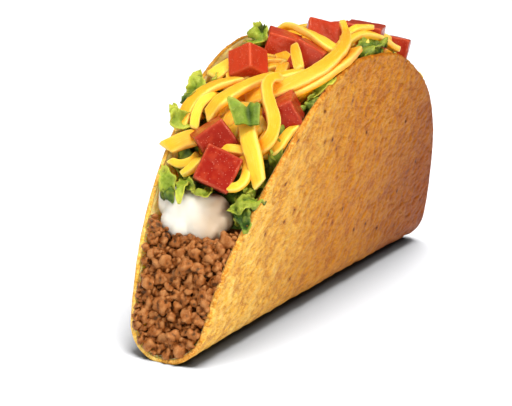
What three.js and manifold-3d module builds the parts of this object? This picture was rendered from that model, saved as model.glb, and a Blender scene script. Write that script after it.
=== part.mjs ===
// A crunchy taco: one round corn tortilla, fried in a fold, that holds ground beef, sour cream, lettuce,
// grated cheese and diced tomato.
// Millimetres, +Z up. X runs along the fold with the open near end at -X, and Y runs from wall to wall.
// It rests on the two ends of its fold, and the origin is on that surface, under the middle of its box.
import * as THREE from "three";
import { ConvexGeometry } from "three/addons/geometries/ConvexGeometry.js";
import { mergeVertices } from "three/addons/utils/BufferGeometryUtils.js";
import Module from "manifold-3d";

const wasm = await Module();
wasm.setup();

// ---------------------------------------------------------------- driving dimensions

const GAP = 0.3; // clearance between neighbouring pieces

const TORTILLA_RADIUS = 70; // the flat round, before it is folded
const SHELL_THICKNESS = 2;
const FOLD_RADIUS = 9.75; // outside of the fold along the bottom
const WALL_LEAN = 8; // each wall leans out from upright, degrees
const FOLD_BOW = 1; // the fold line rises this far from its ends to its middle
const FOLD_BOW_REACH = 40; // and the bow fades out over this distance up each wall
const FOLD_DRIFT = 0.9; // the fold lies this far to one side of the middle between the rims
const FOLD_DRIFT_REACH = 36; // and the drift fades out over this height
const REST_CUT = 0.4; // how far the round fold is flattened where it rests, at its two ends
const SHELL_STATIONS = 24; // steps along the fold
const SHELL_STEPS = 10; // steps from the fold line to each rim
const FOLD_CROWDING = 1.6; // the steps crowd towards the fold line by this power
const SHELL_END = 88; // degrees either way from the middle, just short of the two sharp corners at 90
const WARP_RUN = 12; // the walls start to warp over this length above the fold
// A hand-pressed round is not a true circle. Each bulge: its wall's side, where it lies in degrees from the
// middle towards +X, how far it reaches either way in degrees, and its rise.
const RIM_BULGES = [
  { side: -1, at: -27, reach: 14, rise: 1.8 },
  { side: -1, at: -12, reach: 9, rise: 1.8 },
  { side: -1, at: 25, reach: 13, rise: -1.3 },
  { side: -1, at: 66, reach: 16, rise: 0.7 },
  { side: -1, at: 78, reach: 7, rise: 1 },
];

const BOX_SHIFT = -0.31; // moves every piece across, until the part's box is level with the origin

const WALL_INSET = 0.6; // clearance of the fillings from the uneven walls
const FILLING_STATIONS = 14; // steps along the beef and the lettuce bed
const FILLING_LEVELS = 7; // and steps up their sides, which crowd towards the fold
const FILLING_CROWDING = 1.5;
const FILLING_DEPTH = 1.6; // a filling is at least this deep, also where it runs out at its two ends

const MEAT_TOP = 30; // height of the beef
const MEAT_CROWN = 0.8; // and how much higher it is in the middle
const MEAT_RECESS = 0.8; // how far the beef ends inside the rim
// Crumbs of beef: their sizes, their spacing, and where along the rim's arc their rows start and end.
const CRUMBLE = { least: 3.4, most: 5, pitch: 5.1, row: 4.5, from: 6, to: 37, inset: 2.1 };
const CRUMBLE_DRIFT = { along: 0.7, across: 0.6, least: 0.1, most: 1.5 }; // out of line, and sunk in

const LETTUCE_RECESS = 5.2; // top of the lettuce bed below the rim's arch
const LEAF_THICKNESS = 0.7;

// The bed of grated cheese, from and to an angle over the arch, with low swells on its top.
const BED = { from: 48, to: 138, stations: 13, bottom: -4.2, shoulder: 2.4, top: 0.4, margin: 5.6 };
const BED_SWELL = 0.6;
const STRAND_THICKNESS = 2.3;
const CUBE_BLUNT = 0.05; // how much of a tomato cube's half size its blunt corners take

// Sour cream: its place on the arch, and its lobes as [across, along, outward, radius] about that place.
const CREAM = { theta: 34.6, across: 3, height: -2.8 };
const CREAM_LOBES = [
  [5.4, 0.8, 0.3, 3.8], [8.6, 2.2, 0.8, 1.9], [1.6, -0.4, 1, 4.4], [2.8, -3.4, 0.7, 3],
  [-5.8, -3.9, 0.7, 2.8], [-3.4, -1.4, 0.9, 4], [-6.8, -0.2, 0.2, 3],
];

// ---------------------------------------------------------------- numbers and vectors

const radians = THREE.MathUtils.degToRad;
const { clamp, lerp } = THREE.MathUtils;

// A repeatable source of numbers from 0 to 1.
function seeded(seed) {
  let state = seed;
  return () => {
    state = (state * 1664525 + 1013904223) % 2 ** 32;
    return state / 2 ** 32;
  };
}

const between = (draw, low, high) => low + (high - low) * draw();

// ---------------------------------------------------------------- solids

// A closed three.js geometry as a solid, turned to face outwards.
function solidOf(geometry) {
  const bare = geometry.index ? geometry.toNonIndexed() : geometry.clone();
  const points = new THREE.BufferGeometry().setAttribute("position", bare.getAttribute("position"));
  const merged = mergeVertices(points, 1e-4);
  const make = (triVerts) =>
    new wasm.Manifold(
      new wasm.Mesh({ numProp: 3, vertProperties: merged.attributes.position.array, triVerts }),
    );
  const triangles = new Uint32Array(merged.index.array);
  const solid = make(triangles);
  return solid.volume() > 0 ? solid : make(triangles.reverse());
}

// A solid from lists of points and of triangles.
function solidFrom(points, triangles) {
  const geometry = new THREE.BufferGeometry();
  geometry.setAttribute("position", new THREE.Float32BufferAttribute(points.flat(), 3));
  geometry.setIndex(triangles.flat());
  return solidOf(geometry);
}

// A thin solid between two matching grids of points, split into triangles alike and sewn round the edge.
function sheet(front, back) {
  const rows = front.length;
  const columns = front[0].length;
  const points = [...front.flat(), ...back.flat()];
  const at = (face, i, j) => (face * rows + i) * columns + j;
  const triangles = [];
  for (let i = 0; i < rows - 1; i++)
    for (let j = 0; j < columns - 1; j++)
      for (const face of [0, 1]) {
        const quad = [at(face, i, j), at(face, i + 1, j), at(face, i + 1, j + 1), at(face, i, j + 1)];
        if (face) quad.reverse();
        triangles.push([quad[0], quad[1], quad[2]], [quad[0], quad[2], quad[3]]);
        if (face) triangles.splice(-2, 2, [quad[1], quad[2], quad[3]], [quad[1], quad[3], quad[0]]);
      }
  const edge = [];
  for (let j = 0; j < columns - 1; j++) edge.push([0, j]);
  for (let i = 0; i < rows - 1; i++) edge.push([i, columns - 1]);
  for (let j = columns - 1; j > 0; j--) edge.push([rows - 1, j]);
  for (let i = rows - 1; i > 0; i--) edge.push([i, 0]);
  edge.forEach(([i, j], k) => {
    const [ni, nj] = edge[(k + 1) % edge.length];
    triangles.push([at(0, i, j), at(0, ni, nj), at(1, ni, nj)], [at(0, i, j), at(1, ni, nj), at(1, i, j)]);
  });
  return solidFrom(points, triangles);
}

// A solid through a row of closed rings, each with as many points, capped at both ends.
function loft(rings) {
  const sides = rings[0].length;
  const points = rings.flat();
  const triangles = [];
  for (let i = 0; i < rings.length - 1; i++)
    for (let k = 0; k < sides; k++) {
      const next = (k + 1) % sides;
      const [a, b] = [i * sides, (i + 1) * sides];
      triangles.push([a + k, a + next, b + next], [a + k, b + next, b + k]);
    }
  [0, rings.length - 1].forEach((row) => {
    const ring = rings[row];
    const middle = [0, 1, 2].map((axis) => ring.reduce((sum, p) => sum + p[axis], 0) / sides);
    const centre = points.push(middle) - 1;
    for (let k = 0; k < sides; k++) {
      const pair = [row * sides + k, row * sides + ((k + 1) % sides)];
      triangles.push(row ? [centre, ...pair] : [centre, ...pair.reverse()]);
    }
  });
  return solidFrom(points, triangles);
}

const fuse = (solids) => solids.reduce((all, one) => all.add(one));
const carve = (solid, others) => others.reduce((left, other) => left.subtract(other), solid);

// The largest body of a solid, without loose scraps and with any sealed hollow filled.
function whole(solid) {
  const bodies = solid.decompose().sort((a, b) => b.volume() - a.volume());
  return bodies[0];
}

// ---------------------------------------------------------------- the shell's form

const FOLD_TURN = radians(90 - WALL_LEAN); // the fold turns this far on each side
const FOLD_ARC = FOLD_RADIUS * FOLD_TURN;
const WALL_RISE = Math.sin(FOLD_TURN);

// Height of the fold's virtual hub: the rim of the stood-up round is an ellipse about this height.
const ARCH_HUB = FOLD_RADIUS * (1 - Math.cos(FOLD_TURN)) - FOLD_ARC * WALL_RISE - REST_CUT;

// Across the fold at a distance from its bottom line, and a depth inwards from the outer face: [y, z].
function section(distance, depth) {
  const turn = Math.min(Math.abs(distance) / FOLD_RADIUS, FOLD_TURN);
  const rest = Math.max(Math.abs(distance) - FOLD_ARC, 0);
  const y = (FOLD_RADIUS - depth) * Math.sin(turn) + rest * Math.cos(turn);
  const z = FOLD_RADIUS - (FOLD_RADIUS - depth) * Math.cos(turn) + rest * Math.sin(turn) - REST_CUT;
  return [Math.sign(distance) * y, z];
}

// How far the rim stands out from the round.
function rimLobe(turn, side) {
  const waves = 0.3 * Math.cos(3 * turn + side) + 0.25 * Math.cos(7 * turn + 2 * side);
  const angle = THREE.MathUtils.radToDeg(turn);
  return RIM_BULGES.filter((bulge) => bulge.side === side).reduce(
    (sum, { at, reach, rise }) => sum + rise * Math.exp(-(((angle - at) / reach) ** 2)),
    waves,
  );
}

// Fried walls are not flat.
const wallWarp = (x, distance) =>
  0.45 * Math.sin(x / 17 + Math.sign(distance)) * Math.sin(Math.abs(distance) / 13 - 0.4);

const foldBow = (x, distance) =>
  FOLD_BOW * (1 - (x / TORTILLA_RADIUS) ** 2) * clamp(1 - Math.abs(distance) / FOLD_BOW_REACH, 0, 1);

// How far to one side the middle between the walls lies at a height.
const foldDrift = (z) => FOLD_DRIFT * clamp(1 - z / FOLD_DRIFT_REACH, 0, 1);

// A point of the shell: along the fold by angle, across it from -1 to 1 between the rims.
function shellPoint(turn, fraction, depth, grow) {
  const side = Math.sign(fraction);
  const reach = (TORTILLA_RADIUS + rimLobe(turn, side)) * Math.cos(turn) + grow;
  const distance = side * Math.abs(fraction) ** FOLD_CROWDING * reach;
  const x = TORTILLA_RADIUS * Math.sin(turn);
  const warp = wallWarp(x, distance) * clamp((Math.abs(distance) - FOLD_ARC) / WARP_RUN, 0, 1);
  const [y, rise] = section(distance, depth + warp);
  const z = Math.max(rise + foldBow(x, distance), Math.min(depth, 0));
  return [x, y + foldDrift(z), z];
}

function shell(grow = 0) {
  const grid = (depth) =>
    Array.from({ length: SHELL_STATIONS + 1 }, (_, i) => {
      const turn = radians(lerp(-SHELL_END, SHELL_END, i / SHELL_STATIONS));
      return Array.from({ length: 2 * SHELL_STEPS + 1 }, (_, j) =>
        shellPoint(turn, j / SHELL_STEPS - 1, depth, grow),
      );
    });
  return sheet(grid(-grow), grid(SHELL_THICKNESS + grow));
}

// Half the width between the walls at a height.
function innerHalfWidth(z) {
  const inner = FOLD_RADIUS - SHELL_THICKNESS;
  const hub = FOLD_RADIUS - REST_CUT;
  const straightFrom = hub - inner * Math.cos(FOLD_TURN);
  if (z < straightFrom) return Math.sqrt(Math.max(inner ** 2 - (hub - z) ** 2, 0));
  return inner * Math.sin(FOLD_TURN) + (z - straightFrom) / Math.tan(FOLD_TURN);
}

// ---------------------------------------------------------------- places on the arch of toppings

// theta runs over the rim's arch from the near end (0) over the top (90) to the far end (180), across is Y,
// and height is measured outwards from the rim.
function archPoint(theta, across, height) {
  const turn = radians(theta);
  const reach = TORTILLA_RADIUS + height;
  return new THREE.Vector3(
    -reach * Math.cos(turn),
    across,
    ARCH_HUB + WALL_RISE * reach * Math.sin(turn),
  );
}

// Axes at a place on the arch: across it, up along it, and outwards.
function archAxes(theta) {
  const turn = radians(theta);
  const across = new THREE.Vector3(0, 1, 0);
  const along = new THREE.Vector3(Math.sin(turn), 0, Math.cos(turn));
  const outward = new THREE.Vector3(-Math.cos(turn), 0, Math.sin(turn));
  return { across, along, outward };
}

const thetaOf = (p) => Math.atan2((p.z - ARCH_HUB) / WALL_RISE, -p.x);

// A geometry made about the origin, set at a place on the arch and turned there.
function onArch(geometry, { theta, across, height }, turn = [0, 0, 0]) {
  const axes = archAxes(theta);
  const place = new THREE.Matrix4().makeBasis(axes.across, axes.along, axes.outward);
  place.multiply(new THREE.Matrix4().makeRotationFromEuler(new THREE.Euler(...turn.map(radians), "ZYX")));
  place.setPosition(archPoint(theta, across, height));
  return geometry.applyMatrix4(place);
}

// A smooth line through places on the arch, with axes at each step: ahead, sideways and outwards.
function archRoute(places, step, kept = 1) {
  const curve = new THREE.CatmullRomCurve3(places.map((place) => archPoint(...place)));
  const count = Math.max(3, Math.round((kept * curve.getLength()) / step));
  return Array.from({ length: count + 1 }, (_, i) => {
    const point = curve.getPointAt((kept * i) / count);
    const ahead = curve.getTangentAt((kept * i) / count);
    const turn = thetaOf(point);
    const radial = new THREE.Vector3(-Math.cos(turn), 0, Math.sin(turn));
    const sideways = new THREE.Vector3().crossVectors(ahead, radial).normalize();
    const outward = new THREE.Vector3().crossVectors(sideways, ahead);
    return { point, ahead, sideways, outward, fraction: i / count };
  });
}

const offset = (point, ...moves) =>
  moves.reduce((sum, [axis, amount]) => sum.addScaledVector(axis, amount), point.clone()).toArray();

// ---------------------------------------------------------------- pieces

// A cube of tomato, cut by hand: its corners are out of true and its edges slightly blunt.
function tomatoCube({ theta, across, height, size, turn, seed }, grow = 0) {
  const draw = seeded(seed);
  const points = [];
  for (const a of [-1, 1])
    for (const b of [-1, 1])
      for (const c of [-1, 1]) {
        const corner = [a, b, c].map((sign, axis) => {
          const half = size[axis] / 2;
          return sign * (half * between(draw, 0.92, 1.04) + grow);
        });
        for (const axis of [0, 1, 2]) {
          const point = corner.map((value, other) => (other === axis ? value : value * (1 - CUBE_BLUNT)));
          points.push(new THREE.Vector3(...point));
        }
      }
  return solidOf(onArch(new ConvexGeometry(points), { theta, across, height }, turn));
}

// A strand of grated cheese along the arch: flat below and crowned above, with one width at either end.
function strand({ path, width, thickness = STRAND_THICKNESS }, grow = 0) {
  const rings = archRoute(path, 6).map(({ point, sideways, outward, fraction }) => {
    const taper = 0.84 + 0.16 * Math.sin(Math.PI * clamp(fraction, 0.08, 0.92));
    const half = (lerp(...width, fraction) / 2) * taper + grow;
    const rise = (thickness / 2) * taper + grow;
    return [
      [1, 0],
      [0.5, 1],
      [-0.5, 1],
      [-1, 0],
      [0, -1],
    ].map(([side, up]) => offset(point, [sideways, side * half], [outward, up * rise]));
  });
  return loft(rings);
}

// A strip of lettuce leaf: it widens from its root, and its edges ruffle.
function leaf({ path, width, ruffle = 1, kept = 1 }) {
  const columns = 3;
  const route = archRoute(path, 4.6, kept);
  const faces = [LEAF_THICKNESS / 2, -LEAF_THICKNESS / 2].map((depth) =>
    route.map(({ point, sideways, outward, fraction }) => {
      const spread = (width / 2) * (0.45 + 0.55 * Math.sin(0.75 * Math.PI * fraction));
      return Array.from({ length: columns + 1 }, (_, j) => {
        const side = (2 * j) / columns - 1;
        const wave = side * Math.sin(4 * Math.PI * fraction + 2.1 * side) + 0.5 * side ** 2;
        return offset(point, [sideways, side * spread], [outward, ruffle * wave + depth]);
      });
    }),
  );
  return sheet(...faces);
}

// A leaf that would run through its neighbours is shortened until it clears them, or is left out.
function clearLeaf(form, rooms) {
  for (const kept of [1, 0.85, 0.7, 0.55]) {
    const solid = leaf({ ...form, kept });
    if (rooms.every((room) => solid.intersect(room).volume() < 0.01)) return [solid];
  }
  return [];
}

// A crumb of fried beef: a pebble with blunt, uneven corners, spread over it by a spiral.
function crumble(place, size, draw) {
  const corners = 7;
  const points = Array.from({ length: corners }, (_, k) => {
    const rise = 1 - (2 * k + 1) / corners;
    const turn = k * Math.PI * (3 - Math.sqrt(5));
    const around = Math.sqrt(1 - rise ** 2);
    const point = new THREE.Vector3(around * Math.cos(turn), around * Math.sin(turn), rise);
    return point.multiplyScalar((size / 2) * between(draw, 0.8, 1.2));
  });
  const turn = [0, 1, 2].map(() => between(draw, 0, 360));
  return solidOf(onArch(new ConvexGeometry(points), place, turn));
}

// A spoonful of sour cream: soft lobes run together.
function creamDollop(grow = 0) {
  const lobes = CREAM_LOBES.map(([across, along, outward, radius]) => {
    const ball = new THREE.IcosahedronGeometry(radius + grow, radius > 3.9 ? 2 : 1);
    return solidOf(onArch(ball.translate(across, along, outward), CREAM));
  });
  return fuse(lobes);
}

// The torn leaf on top: a flat piece between two edges, cut short along an outline with a deep notch.
function topLeaf(grow = 0) {
  const [cutLeft, cutRight, tipLeft, tipRight] = TOP_LEAF.corners.map((place) => archPoint(...place));
  const { outward } = archAxes(TOP_LEAF.corners[0][0]);
  const half = LEAF_THICKNESS / 2 + grow;
  const rows = 3;
  const faces = [half, -half].map((depth) =>
    Array.from({ length: rows + 1 }, (_, i) =>
      TOP_LEAF.outline.map(([side, reach]) => {
        const height = (i / rows) * reach;
        const lower = cutLeft.clone().lerp(cutRight, (side + 1) / 2);
        const upper = tipLeft.clone().lerp(tipRight, (side + 1) / 2);
        const swell = TOP_LEAF.swell * Math.cos(3 * side + 2 * height);
        return offset(lower.lerp(upper, height), [outward, swell + depth]);
      }),
    ),
  );
  return sheet(...faces);
}

// ---------------------------------------------------------------- where the pieces lie

// Each path is a list of [theta, across, height] places on the arch.
const TOMATOES = [
  { theta: 42, across: -2.2, height: 4, size: [8.9, 8.6, 8.6], turn: [19, -27, 3] },
  { theta: 49, across: 2.9, height: 2.6, size: [8.5, 8.1, 6.8], turn: [10, 39, 45] },
  { theta: 59, across: -9.3, height: 1.4, size: [7.7, 8.6, 6.6], turn: [-23, 18, -31] },
  { theta: 70, across: 6, height: 3.3, size: [7.3, 6.8, 6.6], turn: [38, 32, -2] },
  { theta: 81, across: 3.4, height: 2.4, size: [8.3, 8.4, 6.4], turn: [-7, -16, -20] },
  { theta: 77, across: -5.8, height: 2.6, size: [7.4, 8.8, 7], turn: [-21, -24, -5] },
  { theta: 96, across: 1.3, height: 0.7, size: [8.2, 8, 7.8], turn: [38, -5, -28] },
  { theta: 103, across: -6.8, height: 3.2, size: [9, 8.4, 7], turn: [10, 1, -15] },
  { theta: 116, across: -9, height: 3.4, size: [7.4, 8.6, 7], turn: [15, 1, -19] },
  { theta: 111, across: 6.5, height: 2.2, size: [8.4, 8.2, 7.4], turn: [20, 15, 35] },
  { theta: 126, across: 1.5, height: 2.4, size: [8.8, 8, 7.6], turn: [-20, 10, 15] },
  { theta: 137, across: -5, height: 2.4, size: [8, 9, 7.6], turn: [15, -15, 50] },
  { theta: 142, across: 4.6, height: 2.6, size: [8.6, 8, 7.8], turn: [-10, 20, -20] },
];

const STRANDS = [
  {
    path: [[45.2, 13.8, 1.8], [46.3, 12, 2], [48.1, 9.7, 1.6], [50, 7.6, 0.6], [52, 7.6, -1.5]],
    width: [4, 4.6],
  },
  {
    path: [[50, 12.5, 1.8], [53.8, 12.8, 2.6], [57.3, 12.2, 3], [60.3, 10.2, 3.4], [62.6, 7.9, 3.2],
      [65.2, 5.4, 2.4]],
    width: [3.2, 3.8],
  },
  {
    path: [[50.7, 9.2, 1.8], [53.6, 10, 2.8], [56.6, 9.9, 3.2], [58.8, 8.6, 2.6], [60.6, 8.2, 0.8]],
    width: [2.3, 1.8],
  },
  {
    path: [[53.7, 7.3, 2.4], [56.5, 5.8, 3.8], [59.2, 3.6, 4.4], [61.6, 1.1, 4.8], [63.6, -1.7, 5.2],
      [65.8, -5.8, 5.2], [69, -9.3, 4.6]],
    width: [4.4, 2.4],
  },
  {
    path: [[92, -5.8, 7.2], [90.5, -7.8, 5.4], [86, -10.5, 5.3], [80.5, -13.1, 5.4], [74.8, -13.7, 5.2],
      [69.6, -12.6, 5], [66.1, -9.9, 4.6], [63.1, -6.5, 4.2], [61.3, -2.8, 3.4], [60.3, 1, 2]],
    width: [1.8, 4.4],
  },
  {
    path: [[85.6, -13.3, 2.6], [77.9, -14.8, 3], [72.6, -14.1, 3], [67.7, -12.3, 2.8], [64.8, -9.5, 2.2],
      [63.3, -5.5, 1.2]],
    width: [3.8, 3.8],
  },
  {
    path: [[88.5, 9.4, 2.6], [88, 6.6, 4.7], [86.8, 3.4, 5.2], [84.8, 0.3, 5.4], [81.5, -5.1, 5.8],
      [79.4, -9.5, 5.4], [78.8, -12.7, 4.4]],
    width: [1.6, 4],
  },
  {
    path: [[88, -7.4, 0], [90.8, -8.2, 2.8], [94, -9.4, 4.3], [97, -11.3, 4.2], [100, -12.8, 3.5],
      [103.6, -13.6, 2.3], [106, -15, 1.8]],
    width: [3.2, 2.8],
  },
  {
    path: [[92, -7.8, 4.6], [94, -8.6, 5.6], [96.5, -9.5, 5.9], [99, -10.7, 6.2]],
    width: [1.9, 1.7], thickness: 1.8,
  },
  {
    path: [[64.1, -6.4, 6.4], [62.7, -5.3, 7.4], [60.8, -5.1, 7.8], [58.9, -6, 7.6], [56.6, -7.9, 7],
      [54.4, -10, 6.4], [52.5, -11.2, 5.6], [50.3, -11.2, 4.6], [48.9, -9.5, 3], [48.5, -6.7, 0.6]],
    width: [2.4, 3.2], thickness: 2,
  },
  {
    path: [[58, 0, -2], [55.6, -1.6, 1.5], [51.7, -4.7, 4.4], [47.9, -7.6, 5.6], [45.4, -9.9, 5.4],
      [43.1, -11.5, 4.4], [41.2, -12.7, 2.6]],
    width: [4.2, 3.8],
  },
  { path: [[47, -0.1, 2.8], [46.9, -2.8, 3.4], [47.1, -5.4, 3], [47.6, -7.6, 1.6]], width: [1.8, 2.8] },
  {
    path: [[38.8, -6, 4.4], [39.1, -8.4, 4.8], [40.4, -9.4, 4.4], [42.2, -9.2, 3.8], [44.5, -8.1, 3.2],
      [47, -5.7, 2], [49.5, -4, -2]],
    width: [2.2, 2], thickness: 2,
  },
  {
    path: [[43, 11.5, 1.4], [42.6, 8.6, 1.6], [43.7, 6.4, 1.4], [46.4, 6.8, -1], [50, 8.2, -3]],
    width: [2, 2], thickness: 1.8,
  },
  {
    path: [[40.2, 6.9, 2.4], [41.5, 5.2, 2.6], [43.6, 4.3, 2.2], [45.6, 4.8, -1], [50, 7, -3.2]],
    width: [2, 2.2], thickness: 2,
  },
  {
    path: [[49.6, -6, -2.4], [50.6, -11.4, 0], [53.2, -12.6, 0.8], [55.1, -13.1, 0.8], [56.8, -13.8, 0.4]],
    width: [3, 2],
  },
  { path: [[74, -4, 7.4], [71, -6.3, 6.8], [68.6, -8.4, 5.4]], width: [2, 2.8], thickness: 1.8 },
  { path: [[74, 3.5, 1.5], [75, 1, 1.6], [76, -1.5, 1.4]], width: [2, 2], thickness: 1.8 },
  { path: [[74, -1, 1.2], [70, -3, 3.2], [67, -3.6, 2]], width: [2.8, 2.8] },
  { path: [[66, 13.6, 0.8], [68, 12, 1.6], [72, 10, 1.4], [76, 9.6, -2]], width: [3.8, 3.4] },
];

// The torn leaf on top: the corners of its cut end and of its tips, and how far it reaches from side to side.
const TOP_LEAF = {
  corners: [[50, -3.2, 8], [51, -8.8, 7.8], [55, 2, 8.8], [55.6, -6.6, 8.5]],
  outline: [[-1, 0.8], [-0.85, 1.03], [-0.45, 1], [0.13, 0.74], [0.38, 0.95], [0.62, 0.88], [0.85, 0.96],
    [1, 0.84]],
  swell: 0.3,
};

// Each leaf starts inside the bed and shows where it climbs out of it.
const LEAVES = [
  { path: [[62.3, 13.2, -7], [60.6, 13.5, -1], [60, 13.6, 2], [61, 13.9, 4], [63, 14.5, 5]], width: 4.4 },
  { path: [[60.3, 13.2, -7], [59.4, 13.8, 0], [57.8, 14.3, 3], [55.7, 15.2, 3]], width: 2.8 },
  { path: [[52.9, 12.4, -7], [52, 12.8, -1], [51.4, 13.6, 4.4], [51.9, 14.6, 5.4], [53, 15.8, 5]], width: 4 },
  { path: [[82.6, 13.2, -7], [81, 12.6, 0], [78.8, 11, 4], [79.4, 10.2, 6], [81.7, 10.6, 7]], width: 4.2 },
  { path: [[36.5, 8.2, -7], [36.8, 8.7, 0.5], [38.6, 10.2, 2], [41.5, 12.2, 2]], width: 4.2 },
  { path: [[38.5, 9.6, -7], [37.2, 9.4, 1.5], [35.6, 7.4, 3], [34.3, 6.2, 3]], width: 2.4, ruffle: 0.5 },
  { path: [[40.6, 6.2, -7], [38.9, 5.8, 1], [37.4, 5.1, 3.2], [35.6, 4.3, 4.6], [34, 3.8, 4.6]], width: 2.8 },
  { path: [[41, 6.4, -7], [39.8, 5.8, 1], [38.3, 3.4, 3], [37.3, 1.7, 3]], width: 2.6, ruffle: 0.6 },
  { path: [[37, -1.8, -7], [35.6, -1.6, 2], [35.2, -1.2, 3.4], [35.4, 0.8, 3.8]], width: 2, ruffle: 0.4 },
  { path: [[44.5, -9.8, -7], [42.4, -10, 0], [40.4, -10.2, 1.5], [38.9, -10, 1.5]], width: 3.2 },
  { path: [[40, -11, -7], [38.5, -11.6, 0.8], [37.4, -11, 2], [36, -9.3, 2], [35.3, -7.4, 1.6]], width: 3 },
  {
    path: [[40, -8.4, -7], [37.4, -8.9, 0], [35, -10.8, 1.2], [33.4, -12, 0.6], [32.1, -12.6, 0]],
    width: 4.2,
  },
  { path: [[62.6, -12.6, -7], [62.8, -14, 0], [65, -14.4, 0.6], [66.6, -15, 0.8]], width: 2.6 },
  { path: [[67, -11, -7], [67.5, -13, 0.6], [69.4, -14.2, 2], [72, -15.6, 2.2]], width: 4.2, ruffle: 0.6 },
  { path: [[88, -13, -7], [90, -13.6, 1], [95, -13.4, 2.4], [101, -13.6, 2.4]], width: 4.6, ruffle: 1.3 },
  { path: [[48.4, -11.4, -7], [49, -11.6, -1], [50.6, -11.4, 0.6], [52.4, -10.8, 1]], width: 3.4 },
  { path: [[44, 8.6, -7], [44.6, 8.8, -1], [46, 9.6, 0.8], [47, 12, 1]], width: 3, ruffle: 0.8 },
];

// The slope behind the top is dressed as the near one is.
const FAR_STRANDS = 5;
const FAR_LEAVES = 8;

function farStrand(draw) {
  const theta = between(draw, 104, 136);
  const across = between(draw, -8, 8);
  const lean = between(draw, -1, 1);
  const reach = between(draw, 7, 11);
  const places = [-1, -0.4, 0.3, 1].map((t) => [
    clamp(theta + t * reach * Math.cos(lean), 96, 146),
    clamp(across + t * reach * Math.sin(lean) + 1.4 * Math.sin(4 * t + theta), -13, 13),
    1.4 + 3.2 * (1 - t * t) + 0.8 * lean,
  ]);
  return { path: places, width: [between(draw, 2.6, 3.8), between(draw, 2.2, 3.4)] };
}

function farLeaf(draw, index) {
  const theta = lerp(100, 154, (index + 0.5) / FAR_LEAVES);
  const side = index % 2 ? 1 : -1;
  const edge = side > 0 ? between(draw, 0.9, 1.12) : between(draw, 0.85, 0.95);
  const wall = innerHalfWidth(archPoint(theta, 0, 0).z) - 1.4;
  return {
    path: [
      [theta - 2, side * (wall - 0.6), -7],
      [theta, side * (wall - 0.2), -0.8],
      [theta + 1, side * wall * edge, 1],
      [theta + 3, side * (wall * edge + 0.6), 1.4],
    ],
    width: between(draw, 4.5, 7),
    ruffle: between(draw, 0.8, 1.4),
  };
}

// ---------------------------------------------------------------- fillings

// A ring round the space between the walls at one station, up to a level. Its first points follow the fold.
function fillingRing(x, bottom, top, crown) {
  const side = Array.from({ length: FILLING_LEVELS }, (_, k) => {
    const z = lerp(bottom, top, (k / (FILLING_LEVELS - 1)) ** FILLING_CROWDING);
    return [Math.max(innerHalfWidth(z) - WALL_INSET, WALL_INSET), z];
  });
  const left = side.map(([y, z]) => [x, foldDrift(z) + y, z]);
  const right = side.map(([y, z]) => [x, foldDrift(z) - y, z]).reverse();
  return [...left, [x, foldDrift(top), top + crown], ...right];
}

// The filling between two heights, inside an arch set in from the rim.
function filling(bottom, level, recess, crown) {
  const arch = TORTILLA_RADIUS - recess;
  const least = bottom + FILLING_DEPTH;
  const lowest = Math.asin((least + WALL_INSET - ARCH_HUB) / (WALL_RISE * arch));
  const end = arch * Math.cos(lowest);
  const rings = Array.from({ length: FILLING_STATIONS + 1 }, (_, i) => {
    const x = end * Math.sin(radians(lerp(-90, 90, i / FILLING_STATIONS)));
    const archTop = ARCH_HUB + WALL_RISE * Math.sqrt(Math.max(arch ** 2 - x ** 2, 0));
    return fillingRing(x, bottom, Math.max(Math.min(level, archTop), least), crown);
  });
  return loft(rings);
}

// Rows of crumbs from wall to wall, over the two open ends of the beef.
function crumbles() {
  const draw = seeded(7);
  const { along, across, least, most } = CRUMBLE_DRIFT;
  const pieces = [];
  for (const end of [0, 180])
    for (let arc = CRUMBLE.from; arc < CRUMBLE.to; arc += CRUMBLE.row) {
      const theta = Math.abs(end - THREE.MathUtils.radToDeg(arc / (TORTILLA_RADIUS - MEAT_RECESS)));
      const { z } = archPoint(theta, 0, -MEAT_RECESS);
      const half = innerHalfWidth(z) - CRUMBLE.inset;
      const count = Math.max(2, Math.round((2 * half) / CRUMBLE.pitch) + 1);
      for (let k = 0; k < count; k++) {
        const place = {
          theta: theta + between(draw, -along, along),
          across: foldDrift(z) + lerp(-half, half, k / (count - 1)) + between(draw, -across, across),
          height: -MEAT_RECESS - between(draw, least, most),
        };
        pieces.push(crumble(place, between(draw, CRUMBLE.least, CRUMBLE.most), draw));
      }
    }
  return pieces;
}

// The bed that the strands of cheese lie on, with low swells.
function cheeseBed(grow = 0) {
  const bottom = BED.bottom - grow;
  const shoulder = BED.bottom + BED.shoulder;
  const top = BED.top + grow;
  const rings = Array.from({ length: BED.stations + 1 }, (_, i) => {
    const theta = lerp(BED.from, BED.to, i / BED.stations);
    const swell = BED_SWELL * (Math.sin(theta / 4) + Math.sin(theta / 2.3));
    const drift = BED_SWELL * Math.sin(theta / 3);
    const half = innerHalfWidth(archPoint(theta, 0, 0).z) - BED.margin + drift + grow;
    return [
      [half, bottom],
      [half + 0.4, shoulder],
      [half * 0.7, top + swell * 0.4],
      [half * 0.1, top + 0.4 + swell],
      [-half * 0.6, top - swell * 0.4],
      [-half - 0.4, shoulder],
      [-half, bottom],
    ].map(([across, height]) => archPoint(theta, across, height).toArray());
  });
  return loft(rings);
}

// ---------------------------------------------------------------- the taco

const taco = new THREE.Group();
taco.name = "taco";

function addPiece(name, solid, colour, roughness) {
  const { vertProperties, triVerts, numProp } = solid.translate([0, BOX_SHIFT, 0]).getMesh();
  const geometry = new THREE.BufferGeometry();
  geometry.setAttribute("position", new THREE.BufferAttribute(new Float32Array(vertProperties), numProp));
  geometry.setIndex(new THREE.BufferAttribute(new Uint32Array(triVerts), 1));
  const material = new THREE.MeshStandardMaterial({ color: colour, roughness, metalness: 0 });
  const mesh = new THREE.Mesh(geometry, material);
  mesh.name = name;
  taco.add(mesh);
}

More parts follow.
